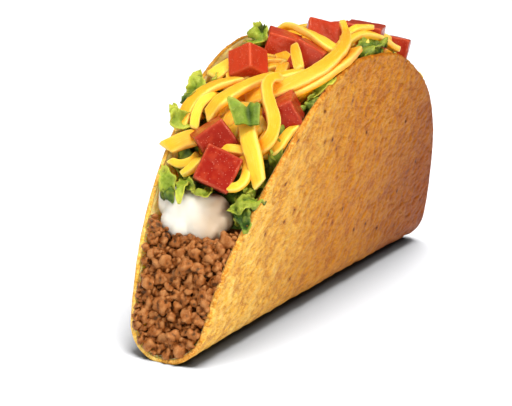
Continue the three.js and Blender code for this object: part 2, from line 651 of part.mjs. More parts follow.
const farDraw = seeded(41);
const strands = [...STRANDS, ...Array.from({ length: FAR_STRANDS }, () => farStrand(farDraw))];
const leaves = [...LEAVES, ...Array.from({ length: FAR_LEAVES }, (_, i) => farLeaf(farDraw, i))];
const tomatoes = TOMATOES.map((tomato, i) => ({ ...tomato, seed: 11 + i }));

// Each piece gives way to those before it, by the clearance between neighbours.
const shellRoom = shell(GAP);
const tomatoRoom = tomatoes.map((tomato) => tomatoCube(tomato, GAP));
const creamRoom = creamDollop(GAP);
const cheeseRoom = [cheeseBed(GAP), ...strands.map((one) => strand(one, GAP))];
const topLeafRoom = topLeaf(GAP);

addPiece("shell", shell(), "#d9a04c", 0.75);

tomatoes.forEach((tomato, i) => {
  const solid = carve(tomatoCube(tomato), [shellRoom, ...tomatoRoom.slice(0, i)]);
  addPiece(`tomato_${i + 1}`, whole(solid), "#c03527", 0.3);
});

addPiece("sour_cream", whole(carve(creamDollop(), [shellRoom, ...tomatoRoom])), "#f3efe6", 0.35);

addPiece("lettuce_top", whole(carve(topLeaf(), tomatoRoom)), "#8fbf4f", 0.5);

const overCheese = [shellRoom, creamRoom, topLeafRoom, ...tomatoRoom];
const cheese = fuse([cheeseBed(), ...strands.map((one) => strand(one))]);
addPiece("cheese", whole(carve(cheese, overCheese)), "#f9bd2d", 0.45);

const bed = filling(MEAT_TOP + MEAT_CROWN + GAP, Infinity, LETTUCE_RECESS, 0);
const overLeaves = [topLeafRoom, ...cheeseRoom, ...tomatoRoom];
const lettuce = fuse([bed, ...leaves.flatMap((one) => clearLeaf(one, overLeaves))]);
addPiece("lettuce", whole(carve(lettuce, [shellRoom, creamRoom, ...tomatoRoom])), "#7fb546", 0.5);

const meat = filling(SHELL_THICKNESS - REST_CUT + GAP, MEAT_TOP, MEAT_RECESS, MEAT_CROWN);
addPiece("beef", whole(carve(fuse([meat, ...crumbles()]), [shellRoom, creamRoom])), "#8a5a35", 0.5);

export default taco;
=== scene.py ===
"""A crunchy taco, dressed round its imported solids.

Each piece is worked out in millimetres in the part's own frame: X runs along the fold with the open near
end at -X, Y runs from wall to wall, and Z is up. MM turns the millimetres into Blender's metres.
"""

import math

import bmesh
import bpy
import numpy as np
from mathutils import Matrix, Vector, noise


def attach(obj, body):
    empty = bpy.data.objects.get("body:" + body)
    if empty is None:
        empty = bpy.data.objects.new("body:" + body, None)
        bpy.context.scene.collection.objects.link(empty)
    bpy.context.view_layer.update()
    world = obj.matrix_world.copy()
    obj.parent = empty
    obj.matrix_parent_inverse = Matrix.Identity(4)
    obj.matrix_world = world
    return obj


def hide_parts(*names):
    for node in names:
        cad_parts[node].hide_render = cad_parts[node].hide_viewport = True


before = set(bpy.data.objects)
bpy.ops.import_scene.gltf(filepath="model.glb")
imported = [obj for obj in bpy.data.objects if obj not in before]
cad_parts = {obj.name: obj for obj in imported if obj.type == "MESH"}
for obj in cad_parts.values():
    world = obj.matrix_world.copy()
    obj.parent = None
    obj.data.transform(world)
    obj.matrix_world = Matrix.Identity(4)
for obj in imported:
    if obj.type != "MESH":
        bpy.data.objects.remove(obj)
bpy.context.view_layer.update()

MM = 0.001
BOX_SHIFT = np.array([0, -0.31, 0])  # the origin is under the middle of the part's box

# ---------- the part's own sizes, in mm

TORTILLA_RADIUS = 70  # the flat round, before it is folded
SHELL_THICKNESS = 2
RIM_THICKNESS = 1.4  # the shell is this thin where it was cut
RIM_TAPER = 9  # and reaches its full thickness this far inside
RIM_BULGES = [(-27, 14, 1.8), (-12, 9, 1.8), (25, 13, -1.3), (66, 16, 0.7), (78, 7, 1)]  # at, reach, rise
FOLD_RADIUS = 9.75  # outside of the fold along the bottom
WALL_LEAN = math.radians(8)  # each wall leans out from upright
FOLD_BOW = 1  # the fold line rises this far from its ends to its middle
FOLD_BOW_REACH = 40  # and the bow fades out over this distance up each wall
FOLD_DRIFT = 0.9  # the fold lies this far to one side of the middle between the rims
FOLD_DRIFT_REACH = 36  # and the drift fades out over this height
WARP = 0.45  # the walls warp this far, either way
WARP_RUN = 12  # and start to over this length above the fold
REST_CUT = 0.4  # how far the round fold is flattened where it rests, at its two ends
MEAT_TOP = 30  # height of the beef
MEAT_RECESS = 0.8  # how far the beef ends inside the rim

FOLD_TURN = math.pi / 2 - WALL_LEAN  # the fold turns this far on each side
FOLD_ARC = FOLD_RADIUS * FOLD_TURN
WALL_RISE = math.sin(FOLD_TURN)
# Height of the hub of the rim's arch, an ellipse.
ARCH_HUB = FOLD_RADIUS * (1 - math.cos(FOLD_TURN)) - FOLD_ARC * WALL_RISE - REST_CUT

# ---------- camera, floor and light

IMAGE_WIDTH = 512
FOCAL_PIXELS = 2500
SENSOR = 36
CAMERA_TURN, CAMERA_RISE, CAMERA_ROLL = -1.1604, 0.2586, 0.0903
CAMERA_AIM = Vector((-4.745, 9.2, 22.8))
CAMERA_DISTANCE = 626.5
CAMERA_CLIP = (0.01, 10)  # metres

FLOOR_TINT = (1, 0.8, 0.7)
FLOOR_REACH = 2.5  # metres
SKY_STRENGTH = 0.08


def new_object(name, data):
    made = bpy.data.objects.new(name, data)
    bpy.context.collection.objects.link(made)
    return made


def aim_camera():
    away = Vector((
        math.sin(CAMERA_TURN) * math.cos(CAMERA_RISE),
        -math.cos(CAMERA_TURN) * math.cos(CAMERA_RISE),
        math.sin(CAMERA_RISE),
    ))
    level = (-away).cross(Vector((0, 0, 1))).normalized()
    upright = level.cross(-away)
    right = level * math.cos(CAMERA_ROLL) + upright * math.sin(CAMERA_ROLL)
    up = upright * math.cos(CAMERA_ROLL) - level * math.sin(CAMERA_ROLL)
    camera = new_object("camera", bpy.data.cameras.new("camera"))
    camera.data.sensor_width = SENSOR
    camera.data.lens = FOCAL_PIXELS / IMAGE_WIDTH * SENSOR
    camera.data.clip_start, camera.data.clip_end = CAMERA_CLIP
    axes = Matrix((right, up, away)).transposed().to_4x4()
    camera.matrix_world = Matrix.Translation((CAMERA_AIM + away * CAMERA_DISTANCE) * MM) @ axes
    bpy.context.scene.camera = camera


def area_light(name, place, target, size, power, tint):
    light = bpy.data.lights.new(name, "AREA")
    light.shape, light.size = "DISK", size * MM
    light.energy, light.color = power, tint
    lamp = new_object(name, light)
    lamp.location = Vector(place) * MM
    lamp.rotation_euler = (Vector(target) - Vector(place)).to_track_quat("-Z", "Y").to_euler()
    lamp.visible_camera = False
    return lamp


def overhead_light(name, strength, spread, direction, tint):
    light = bpy.data.lights.new(name, "SUN")
    light.energy, light.angle, light.color = strength, math.radians(spread), tint
    lamp = new_object(name, light)
    lamp.rotation_euler = Vector(direction).to_track_quat("-Z", "Y").to_euler()
    return lamp


def floor():
    mesh = bpy.data.meshes.new("floor")
    corners = [(x * FLOOR_REACH, y * FLOOR_REACH, 0) for x, y in ((-1, -1), (1, -1), (1, 1), (-1, 1))]
    mesh.from_pydata(corners, [], [(0, 1, 2, 3)])
    s = Shader("studio_floor", Roughness=0.9, Specular_IOR_Level=0.1)
    s.feed("Base Color", s.mix(s.noise(s.place(), 400), "#5f6a72", "#5c676f"))
    mesh.materials.append(s.material)
    made = new_object("floor", mesh)
    return made


def light_scene(ground):
    """Soft lights from above and in front. Two lights of its own light the floor, and no others."""
    only_floor, no_floor = (bpy.data.collections.new(name) for name in ("only_floor", "no_floor"))
    only_floor.objects.link(ground)
    no_floor.objects.link(ground)
    no_floor.collection_objects[0].light_linking.link_state = "EXCLUDE"
    for lamp in (
        overhead_light("floor_light", 27, 28, (0.15, 0.12, -1), FLOOR_TINT),
        overhead_light("floor_fill", 9, 90, (0, 0, -1), FLOOR_TINT),
    ):
        lamp.light_linking.receiver_collection = only_floor
    for lamp in (
        overhead_light("overhead_light", 3.1, 34, (0.14, -0.04, -0.98), (1, 0.99, 0.97)),
        area_light("left_light", (-380, 300, 420), (-20, 0, 40), 180, 0.65, (1, 0.985, 0.96)),
        area_light("wall_light", (-200, -300, 200), (-40, -10, 30), 110, 1, (1, 0.98, 0.95)),
        area_light("end_light", (-430, -60, 90), (-50, 0, 30), 120, 0.4, (1, 0.98, 0.95)),
    ):
        lamp.light_linking.receiver_collection = no_floor
    world = bpy.data.worlds.new("studio")
    world.use_nodes = True
    sky = world.node_tree.nodes["Background"]
    sky.inputs["Color"].default_value = (1, 1, 1, 1)
    sky.inputs["Strength"].default_value = SKY_STRENGTH
    bpy.context.scene.world = world
    bpy.context.scene.view_settings.view_transform = "Standard"


# ---------- materials


class Shader:
    """A Principled material whose sockets are fed by a short chain of nodes."""

    def __init__(self, name, **values):
        self.material = bpy.data.materials.new(name)
        self.material.use_nodes = True
        self.tree = self.material.node_tree
        self.bsdf = self.tree.nodes["Principled BSDF"]
        self.base = None  # the colour so far
        for socket, value in values.items():
            self.feed(socket.replace("_", " "), value)

    def put(self, value, socket):
        """Link a socket to another one, or set it to a number, a vector or a colour's code."""
        if isinstance(value, bpy.types.NodeSocket):
            self.tree.links.new(value, socket)
        else:
            socket.default_value = colour(value) if isinstance(value, str) else value

    def feed(self, socket, value):
        self.put(value, self.bsdf.inputs[socket])

    def scatter(self, weight, *reach):
        """Light goes in below the surface, and comes out within reach mm for red, green and blue."""
        self.feed("Subsurface Weight", weight)
        self.feed("Subsurface Radius", [one * MM for one in reach])
        self.feed("Subsurface Scale", 1)

    def node(self, kind, inputs, **settings):
        made = self.tree.nodes.new("ShaderNode" + kind)
        for key, value in settings.items():
            setattr(made, key, value)
        for key, value in inputs.items():
            self.put(value, made.inputs[key])
        return made

    def attribute(self, name, output="Fac"):
        return self.node("Attribute", {}, attribute_name=name).outputs[output]

    def place(self):
        return self.node("TexCoord", {}).outputs["Object"]

    def noise(self, vector, size, detail=2, roughness=0.5):
        """Noise from 0 to 1 with lumps of about size mm."""
        inputs = {"Vector": vector, "Scale": 1 / (size * MM), "Detail": detail, "Roughness": roughness}
        return self.node("TexNoise", inputs).outputs["Fac"]

    def cells(self, vector, size, **settings):
        """A Voronoi pattern with cells of about size mm."""
        return self.node("TexVoronoi", {"Vector": vector, "Scale": 1 / (size * MM)}, **settings).outputs

    def range(self, value, low, high, to_low=0.0, to_high=1.0):
        inputs = {"Value": value, "From Min": low, "From Max": high, "To Min": to_low, "To Max": to_high}
        return self.node("MapRange", inputs, interpolation_type="SMOOTHSTEP").outputs["Result"]

    def add(self, a, b):
        return self.node("Math", {0: a, 1: b}, operation="ADD").outputs[0]

    def times(self, a, b):
        return self.node("Math", {0: a, 1: b}, operation="MULTIPLY").outputs[0]

    def mix(self, share, a, b, blend="MIX"):
        return self.node("Mix", {0: share, 6: a, 7: b}, data_type="RGBA", blend_type=blend).outputs[2]

    def tint(self, share, over, blend="MIX"):
        """Lay another colour over the base, by a share from 0 to 1."""
        self.base = self.mix(share, self.base, over, blend)

    def bump(self, height, strength, depth, before=None):
        inputs = {"Height": height, "Strength": strength, "Distance": depth * MM}
        if before:
            inputs["Normal"] = before
        return self.node("Bump", inputs).outputs["Normal"]


def colour(code):
    """A colour from its six hex digits, in Blender's linear light."""
    parts = [int(code[i:i + 2], 16) / 255 for i in (1, 3, 5)]
    return (*[p / 12.92 if p <= 0.04045 else ((p + 0.055) / 1.055) ** 2.4 for p in parts], 1)


def shell_material():
    """Fried corn: golden with dark specks, with painted shade in its hollows and painted highlights on
    its crowns, and darker and browner towards the far end, partly toast and mostly painted shade for the
    light falling off.
    """
    s = Shader("fried_corn", Roughness=0.55, Specular_IOR_Level=0.18, Specular_Tint="#ffcc80")
    flat = s.attribute("flat", "Vector")
    long = s.node("Mapping", {"Vector": flat, "Scale": (0.55, 1, 1)}).outputs["Vector"]
    fine = s.noise(long, 1.1, 3, 0.6)
    height = s.add(s.times(s.attribute("relief"), 0.5), s.times(fine, 1.6))
    # painted shade and painted highlight: the colour darkens into the relief's hollows and pales on its
    # crowns
    s.base = s.mix(s.range(height, 0.88, 0.4, 0, 0.75), "#f2b640", "#bd7022")
    s.tint(s.range(height, 0.82, 1.2, 0, 0.75), "#ffd878")
    s.tint(s.range(s.noise(flat, 8, 3), 0.5, 0.7, 0, 0.35), "#c27228")
    pebble = s.range(s.cells(long, 1.3, feature="SMOOTH_F1")["Distance"], 0.62, 0.12)
    # painted highlight on each pebble's crown
    s.tint(s.times(pebble, 0.3), "#ffd878")
    grain = s.noise(long, 0.35, 2, 0.7)
    s.tint(s.range(grain, 0.5, 0.7, 0, 0.6), "#ffda80")
    s.tint(s.range(grain, 0.48, 0.28, 0, 0.55), "#a8601e")
    specks = s.cells(flat, 4.6)
    present = s.range(s.node("SeparateColor", {"Color": specks["Color"]}).outputs[0], 0.66, 0.68)
    speck = s.times(s.range(specks["Distance"], 0.125, 0.07), present)
    halo = s.times(s.range(specks["Distance"], 0.34, 0.08), present)
    s.tint(s.times(halo, 0.5), "#a95c22")
    s.tint(s.times(speck, 0.9), "#5c2408")
    # painted shade: darker and browner towards the far end, mostly for the light falling off there and
    # partly toast
    along = s.node("SeparateXYZ", {"Vector": s.place()}).outputs["X"]
    for start, end, code in ((-0.07, 0.0, "#d0aa5c"), (0.0, 0.07, "#ba9044")):
        far_end_shade = s.mix(s.range(along, start, end), "#ffffff", code)
        s.tint(1.0, far_end_shade, "MULTIPLY")
    inside = s.attribute("inside")
    # painted light: the inner face is painted paler, for light that doesn't reach it
    s.tint(s.times(inside, 0.85), "#ffdc98")
    s.feed("Base Color", s.base)
    s.scatter(s.times(inside, 0.8), 5, 3, 1.4)
    bump = s.bump(pebble, 0.7, 0.5, s.bump(fine, 0.7, 1.0))
    bump = s.bump(grain, 0.45, 0.25, bump)
    s.feed("Normal", s.bump(s.times(speck, -1), 0.4, 0.3, bump))
    return s.material


def beef_material():
    """Fried mince: brown crumbs, with painted highlights on their crowns and painted shade, nearly black,
    in their creases.
    """
    s = Shader("fried_beef", Specular_IOR_Level=0.6, Specular_Tint="#ffd49c")
    spot = s.place()
    s.base = s.mix(s.attribute("tone"), "#7c4014", "#985828")
    s.tint(s.range(s.noise(spot, 1.3, 3), 0.45, 0.7, 0, 0.6), "#b0703c")
    # painted highlight on the knobs' crowns, and painted shade, nearly black, in the creases between them
    s.tint(s.times(s.range(s.attribute("crease"), 0.3, 0.0), 0.5), "#b47c4a")
    s.tint(s.times(s.range(s.attribute("crease"), 0.4, 0.75), 0.85), "#2c0f04")
    # painted shade: the layer behind the crumbs and the core are darkened by their depth value
    s.tint(s.times(s.attribute("depth"), 0.85), "#200b03")
    s.feed("Base Color", s.base)
    s.feed("Roughness", s.range(s.noise(spot, 0.9, 2), 0.3, 0.7, 0.15, 0.45))
    s.feed("Normal", s.bump(s.noise(spot, 0.45, 3, 0.6), 0.8, 0.35))
    return s.material


def cheese_material():
    """Cheddar: orange, painted yellower on its upper faces as painted light, with streaks along each
    strand.
    """
    s = Shader("grated_cheese", Roughness=0.4, Specular_IOR_Level=0.35, Specular_Tint="#ffdc88")
    tone = s.attribute("tone")
    grain = {"Vector": s.attribute("grain", "Vector"), "Scale": 1.6, "Detail": 3, "Roughness": 0.6}
    streaks = s.node("TexNoise", grain).outputs["Fac"]
    s.base = s.mix(tone, "#f09a0a", "#ffbe26")
    # painted light: the upper face is painted yellower than the sides and underside
    upper = s.range(s.attribute("rise"), 0.2, 1)
    s.tint(s.times(upper, s.range(tone, 0, 1, 0.1, 0.45)), "#ffd448")
    # painted highlight along the upper edges and the cut ends
    s.tint(s.times(s.attribute("rim"), 0.6), "#ffe88c")
    s.tint(s.range(streaks, 0.52, 0.75, 0, 0.45), "#ee9a12")
    s.tint(s.range(streaks, 0.45, 0.25, 0, 0.4), "#ffe07a")
    s.feed("Base Color", s.base)
    pitted = s.bump(s.noise(s.place(), 0.5, 3, 0.6), 0.3, 0.12)
    s.feed("Normal", s.bump(streaks, 0.35, 0.3, pitted))
    s.scatter(0.45, 2.4, 1.3, 0.3)
    return s.material


def lettuce_material():
    """Lettuce: from dark to light green, paler at its frilled edges, with painted light on its raised
    folds and painted shade in its hollows.
    """
    s = Shader("iceberg_lettuce", Roughness=0.36, Specular_IOR_Level=0.45, Specular_Tint="#f4f2b4")
    tone, rise = s.attribute("tone"), s.attribute("rise")
    s.base = s.mix(tone, "#1c4216", "#8ca02a")
    patch = s.noise(s.place(), 2.2, 3)
    s.tint(s.range(patch, 0.4, 0.7, 0, 0.5), "#7c9c2c")
    s.tint(s.range(patch, 0.42, 0.25, 0, 0.45), "#c0cc5c")
    outer = s.range(s.attribute("edge"), 0.6, 1.0)
    s.tint(s.times(s.times(outer, tone), 0.75), "#d0cc50")
    # painted light on the raised folds, and painted shade in the hollows
    s.tint(s.range(rise, 0.1, 0.7, 0, 0.4), "#b2b83a")
    s.tint(s.range(rise, -0.05, -0.7, 0, 0.85), "#1c3a14")
    s.feed("Base Color", s.base)
    s.feed("Normal", s.bump(s.noise(s.place(), 0.9, 4, 0.65), 0.8, 0.5))
    s.scatter(0.25, 0.6, 0.8, 0.2)
    return s.material


def tomato_material():
    """Cut tomato: wet red flesh with pale flecks, and the skin on one side."""
    s = Shader("diced_tomato", Roughness=0.3, Specular_IOR_Level=0.4, Specular_Tint="#ffc8a8")
    spot = s.place()
    # tone mixes each dice's own red with painted light: faces turned towards the lit side are lighter
    s.base = s.mix(s.attribute("tone"), "#8e160c", "#be3c1e")
    s.tint(s.range(s.noise(spot, 2.0, 3), 0.45, 0.75, 0, 0.4), "#bc4424")
    fleck = s.range(s.cells(spot, 0.6)["Distance"], 0.2, 0.12)
    s.tint(s.times(fleck, 0.35), "#f6ac90")
    # painted highlight along the dice's edges
    s.tint(s.times(s.attribute("rim"), 0.14), "#ec8450")
    s.tint(s.attribute("skin"), "#a81c12")
    s.feed("Base Color", s.base)
    s.feed("Normal", s.bump(s.noise(spot, 0.5, 3, 0.6), 0.35, 0.15))
    s.scatter(0.1, 1.2, 0.4, 0.2)
    return s.material


def cream_material():
    """Sour cream: warm white, and browner on the side that faces away from the light."""
    s = Shader("sour_cream", Roughness=0.42, Specular_IOR_Level=0.3)
    s.base = s.mix(s.range(s.noise(s.place(), 6, 2), 0.3, 0.8), "#e2dfd4", "#dad4c4")
    s.tint(s.times(s.attribute("shade"), 0.85), "#b89e80")
    s.feed("Base Color", s.base)
    s.feed("Normal", s.bump(s.noise(s.place(), 1.6, 2), 0.1, 0.2))
    s.scatter(0.5, 2.4, 2.0, 1.6)
    return s.material


# ---------- meshes


class Heap:
    """Points, faces and per-point values that are gathered into one mesh."""

    def __init__(self):
        self.points, self.faces, self.values, self.count = [], [], {}, 0

    def add(self, points, faces=(), **values):
        """Each value is one number or row of three for all the points, or one for each of them."""
        points = np.asarray(points, float).reshape(-1, 3)
        self.points.append(points)
        self.faces.extend(tuple(int(i) + self.count for i in face) for face in faces)
        self.count += len(points)
        for name, value in values.items():
            array = np.asarray(value, float)
            width = (3,) if array.ndim == 2 or array.shape == (3,) else ()
            self.values.setdefault(name, []).append(np.broadcast_to(array, (len(points), *width)))

    def mesh(self, name):
        mesh = bpy.data.meshes.new(name)
        mesh.from_pydata(((np.concatenate(self.points) + BOX_SHIFT) * MM).tolist(), [], self.faces)
        for key, parts in self.values.items():
            array = np.concatenate(parts)
            kind, field = ("FLOAT_VECTOR", "vector") if array.ndim == 2 else ("FLOAT", "value")
            mesh.attributes.new(key, kind, "POINT").data.foreach_set(field, array.ravel())
        return mesh

    def piece(self, name, material, node):
        finish_piece(name, self.mesh(name), material, node)


def finish_piece(name, mesh, material, node):
    mesh.validate()
    mesh.polygons.foreach_set("use_smooth", [True] * len(mesh.polygons))
    mesh.materials.clear()
    mesh.materials.append(material)
    made = new_object(name, mesh)
    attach(made, "root")
    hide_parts(node)


def lumps(points, size, seed=0):
    """Smooth noise from about -1 to 1 at each point, with lumps of about size mm."""
    shift = Vector((17.3, 7.1, 31.7)) * seed
    return np.array([noise.noise(Vector(p) / size + shift) for p in points])


def unit(vectors):
    return vectors / np.maximum(np.linalg.norm(vectors, axis=-1, keepdims=True), 1e-9)


def squared(wave, power):
    """A sine or cosine pressed towards -1 and 1: it turns a circle into a box with round corners."""
    return np.sign(wave) * np.abs(wave) ** power


def ring_angles(sides, offset=0.0):
    return 2 * np.pi * (np.arange(sides) + offset) / sides


def ball(level):
    """Points and faces of a round ball of radius 1."""
    bm = bmesh.new()
    bmesh.ops.create_icosphere(bm, subdivisions=level, radius=1)
    points = np.array([v.co[:] for v in bm.verts])
    faces = [tuple(v.index for v in f.verts) for f in bm.faces]
    bm.free()
    return points, faces


def grid_faces(rows, columns, first=0, flip=False):
    faces = []
    for i in range(rows - 1):
        for j in range(columns - 1):
            a = first + i * columns + j
            quad = (a, a + 1, a + columns + 1, a + columns)
            faces.append(quad[::-1] if flip else quad)
    return faces


def grid_border(rows, columns):
    """The numbers of a grid's border points, once round."""
    return [
        *range(columns - 1),
        *(i * columns + columns - 1 for i in range(rows - 1)),
        *((rows - 1) * columns + j for j in range(columns - 1, 0, -1)),
        *(i * columns for i in range(rows - 1, 0, -1)),
    ]


def grid_normals(points, rows, columns):
    """A unit normal at each point of a grid."""
    corners = np.array(grid_faces(rows, columns)).T
    a, b, c, d = (points[corner] for corner in corners)
    normals = np.zeros_like(points)
    for corner in corners:
        np.add.at(normals, corner, np.cross(c - a, d - b))
    return unit(normals)


def sheet_faces(rows, columns, flip=False):
    """Faces of a closed sheet: two grids, one on each side, and a strip round their border."""
    count = rows * columns
    faces = grid_faces(rows, columns, 0, flip) + grid_faces(rows, columns, count, not flip)
    border = grid_border(rows, columns)
    for a, b in zip(border, border[1:] + border[:1]):
        faces.append((a, b, b + count, a + count) if flip else (b, a, a + count, b + count))
    return faces


def tube_faces(rings, sides):
    """Faces of a row of closed rings, with a cap at each end."""
    faces = [tuple(range(sides))[::-1], tuple(range((rings - 1) * sides, rings * sides))]
    for i in range(rings - 1):
        for k in range(sides):
            a, b = i * sides + k, i * sides + (k + 1) % sides
            faces.append((a, b, b + sides, a + sides))
    return faces


# ---------- the shell


def section(distance, depth):
    """Across the fold at a distance from its bottom line, and a depth inwards from the outer face."""
    turn = np.minimum(np.abs(distance) / FOLD_RADIUS, FOLD_TURN)
    rest = np.maximum(np.abs(distance) - FOLD_ARC, 0)
    y = (FOLD_RADIUS - depth) * np.sin(turn) + rest * np.cos(turn)
    z = FOLD_RADIUS - (FOLD_RADIUS - depth) * np.cos(turn) + rest * np.sin(turn) - REST_CUT
    return np.sign(distance) * y, z


def fold_drift(z):
    """How far to one side the middle between the walls lies at a height."""
    return FOLD_DRIFT * np.clip(1 - z / FOLD_DRIFT_REACH, 0, 1)


def inner_half_width(z):
    """Half the width between the walls at a height."""
    inner = FOLD_RADIUS - SHELL_THICKNESS
    hub = FOLD_RADIUS - REST_CUT
    straight_from = hub - inner * math.cos(FOLD_TURN)
    if z < straight_from:
        return math.sqrt(max(inner**2 - (hub - z) ** 2, 0))
    return inner * math.sin(FOLD_TURN) + (z - straight_from) / math.tan(FOLD_TURN)


def rim_lobe(turn, side):
    """How far the rim stands out from the round; only the wall on the -Y side has bulges."""
    lobe = 0.3 * np.cos(3 * turn + side) + 0.25 * np.cos(7 * turn + 2 * side)
    for at, reach, rise in RIM_BULGES:
        lobe = lobe + (side < 0) * rise * np.exp(-(((np.degrees(turn) - at) / reach) ** 2))
    return lobe


def wall_warp(x, distance):
    """Fried walls are not flat."""
    run = np.clip((np.abs(distance) - FOLD_ARC) / WARP_RUN, 0, 1)
    return WARP * np.sin(x / 17 + np.sign(distance)) * np.sin(np.abs(distance) / 13 - 0.4) * run


def tortilla(u, v, depth, swell=0.0):
    """Points of the folded round from places on a unit disc, at a depth from its outer face."""
    x = TORTILLA_RADIUS * u
    distance = v * (TORTILLA_RADIUS + rim_lobe(np.arcsin(np.clip(u, -1, 1)), np.sign(v)) + swell)
    y, z = section(distance, depth + wall_warp(x, distance))
    z = z + FOLD_BOW * (1 - u**2) * np.clip(1 - np.abs(distance) / FOLD_BOW_REACH, 0, 1)
    z = np.maximum(z, np.minimum(depth, 0))
    return np.stack([x * (1 + swell / TORTILLA_RADIUS), y + fold_drift(z), z], -1)


def on_round(u, v, third=0.0):
    """Places on the flat round in mm; the third coordinate sets the rim's pattern apart."""
    return np.stack([u, v, np.full_like(u, third / TORTILLA_RADIUS)], -1) * TORTILLA_RADIUS


def from_rim(u, v):
    """How far places on the unit disc lie inside the rim, in mm."""
    return (1 - np.hypot(u, v)) * TORTILLA_RADIUS


def disc_grid(steps):
    """Places on a unit disc from a square grid of steps, as flat lists."""
    line = np.linspace(-1, 1, steps + 1)
    a, b = np.meshgrid(line, line, indexing="ij")
    return (a * np.sqrt(1 - b * b / 2)).ravel(), (b * np.sqrt(1 - a * a / 2)).ravel()


def shell_relief(u, v):
    """The pebbled face of a fried tortilla, from about -1 to 1."""
    flat = on_round(u, v)
    return 0.9 * lumps(flat, 1.5, 1) + 0.6 * lumps(flat, 3.2, 2) + 0.4 * lumps(flat, 10, 3)


OUTER_STEPS = 240  # steps across the round on its outer face
INNER_STEPS = OUTER_STEPS // 2  # and on its inner face, so that two steps of the rim meet one of it
OUTER_RELIEF, INNER_RELIEF = 0.3, 0.15
RELIEF_FADE = 1.5  # the outer relief fades towards the rim over this width
REST_STRIP, REST_FADE = 2, 3  # and over REST_FADE towards the strip that rests on the table
INNER_PATTERN_SHIFT = 3  # radii between the outer and the inner face's pattern
RIM_RINGS = [(0.25, 0.3), (0.7, 0.45), (1.15, 0.3)]  # depth from the outer face, bulge
RIM_RAGGEDNESS = 0.18
RIGHT_RIM_DARKENING = 1.4  # the right wall's rim is coloured like relief this much deeper, so darker


def shell():
    heap = Heap()
    u, v = disc_grid(OUTER_STEPS)
    relief = shell_relief(u, v)
    near_rim = np.clip(from_rim(u, v) / RELIEF_FADE, 0.25, 1)
    resting = np.clip((np.abs(v) * TORTILLA_RADIUS - REST_STRIP) / REST_FADE, 0.15, 1)
    points = tortilla(u, v, -OUTER_RELIEF * relief * near_rim * resting)
    faces = grid_faces(OUTER_STEPS + 1, OUTER_STEPS + 1, flip=True)
    heap.add(points, faces, relief=relief, flat=on_round(u, v) * MM, inside=0.0)

    last = grid_border(OUTER_STEPS + 1, OUTER_STEPS + 1)
    u, v = u[last], v[last]
    count = len(last)
    ragged = lumps(on_round(u, v), 1.4, 5) + 0.8 * lumps(on_round(u, v), 0.7, 6)
    relief = 0.9 * ragged + 0.3 - RIGHT_RIM_DARKENING * (v < 0)
    for depth, bulge in RIM_RINGS:
        ring = list(range(heap.count, heap.count + count))
        points = tortilla(u, v, depth, bulge + RIM_RAGGEDNESS * ragged)
        heap.add(points, relief=relief, flat=on_round(u, v, depth) * MM, inside=0.0)
        for k in range(count):
            after = (k + 1) % count
            heap.faces.append((last[k], last[after], ring[after], ring[k]))
        last = ring

    u, v = disc_grid(INNER_STEPS)
    relief = shell_relief(u + INNER_PATTERN_SHIFT, v)
    taper = np.clip(from_rim(u, v) / RIM_TAPER, 0, 1)
    thickness = RIM_THICKNESS + (SHELL_THICKNESS - RIM_THICKNESS) * taper
    near_rim = np.clip((1 - np.hypot(u, v)) * 40, 0, 1)
    border = [heap.count + k for k in grid_border(INNER_STEPS + 1, INNER_STEPS + 1)]
    points = tortilla(u, v, thickness + INNER_RELIEF * relief * near_rim)
    faces = grid_faces(INNER_STEPS + 1, INNER_STEPS + 1)
    heap.add(points, faces, relief=relief, flat=on_round(u + INNER_PATTERN_SHIFT, v) * MM, inside=1.0)
    for k, (d, e) in enumerate(zip(border, border[1:] + border[:1])):
        a, b, c = (last[(2 * k + step) % count] for step in range(3))
        heap.faces.extend([(a, b, d), (b, e, d), (b, c, e)])
    heap.piece("corn_shell", shell_material(), "shell")


# ---------- places on the arch of toppings


def arch(theta, across, height):
    """theta runs over the rim's arch from the near end (0) over the top (90) to the far end (180)."""
    turn = np.radians(theta)
    reach = TORTILLA_RADIUS + np.asarray(height, float)
    x, z = -reach * np.cos(turn), ARCH_HUB + WALL_RISE * reach * np.sin(turn)
    return np.stack([x, across + 0 * reach, z], -1)


def outwards(points):
    """The way out from the arch at each point."""
    turn = np.arctan2((points[:, 2] - ARCH_HUB) / WALL_RISE, -points[:, 0])
    return np.stack([-np.cos(turn), 0 * turn, np.sin(turn)], -1)


def wall_at(theta):
    """Half the width between the walls where the rim's arch passes theta."""
    return inner_half_width(float(arch(theta, 0, 0)[2]))


def arch_axes(theta):
    """Across the arch, up along it, and outwards, as three unit rows."""
    turn = math.radians(theta)
    return np.array([
        [0, 1, 0],
        [math.sin(turn), 0, math.cos(turn)],
        [-math.cos(turn), 0, math.sin(turn)],
    ])


def smooth_line(places, step, samples=16):
    """A smooth line through places on the arch, in even steps: its points and how far along each is."""
    corners = np.array([arch(*place) for place in places])
    knots = np.concatenate([[0], np.cumsum(np.sqrt(np.linalg.norm(np.diff(corners, axis=0), axis=1)))])
    slopes = np.gradient(corners, knots, axis=0)
    t = np.linspace(0, 1, samples)[:, None]
    dense = []
    for k in range(len(corners) - 1):
        run = knots[k + 1] - knots[k]
        dense.append(
            (2 * t**3 - 3 * t**2 + 1) * corners[k] + (t**3 - 2 * t**2 + t) * run * slopes[k]
            + (3 * t**2 - 2 * t**3) * corners[k + 1] + (t**3 - t**2) * run * slopes[k + 1]
        )
    dense = np.concatenate(dense)
    travelled = np.concatenate([[0], np.cumsum(np.linalg.norm(np.diff(dense, axis=0), axis=1))])
    count = max(4, round(travelled[-1] / step))
    along = np.linspace(0, travelled[-1], count + 1)
    points = np.stack([np.interp(along, travelled, dense[:, axis]) for axis in range(3)], -1)
    return points, along / travelled[-1]


def rails(points, facing=None):
    """Axes along a line: ahead, sideways and outwards from the arch, or towards facing."""
    ahead = unit(np.gradient(points, axis=0))
    sideways = unit(np.cross(ahead, outwards(points) if facing is None else facing))
    return ahead, sideways, np.cross(sideways, ahead)


# ---------- cheese

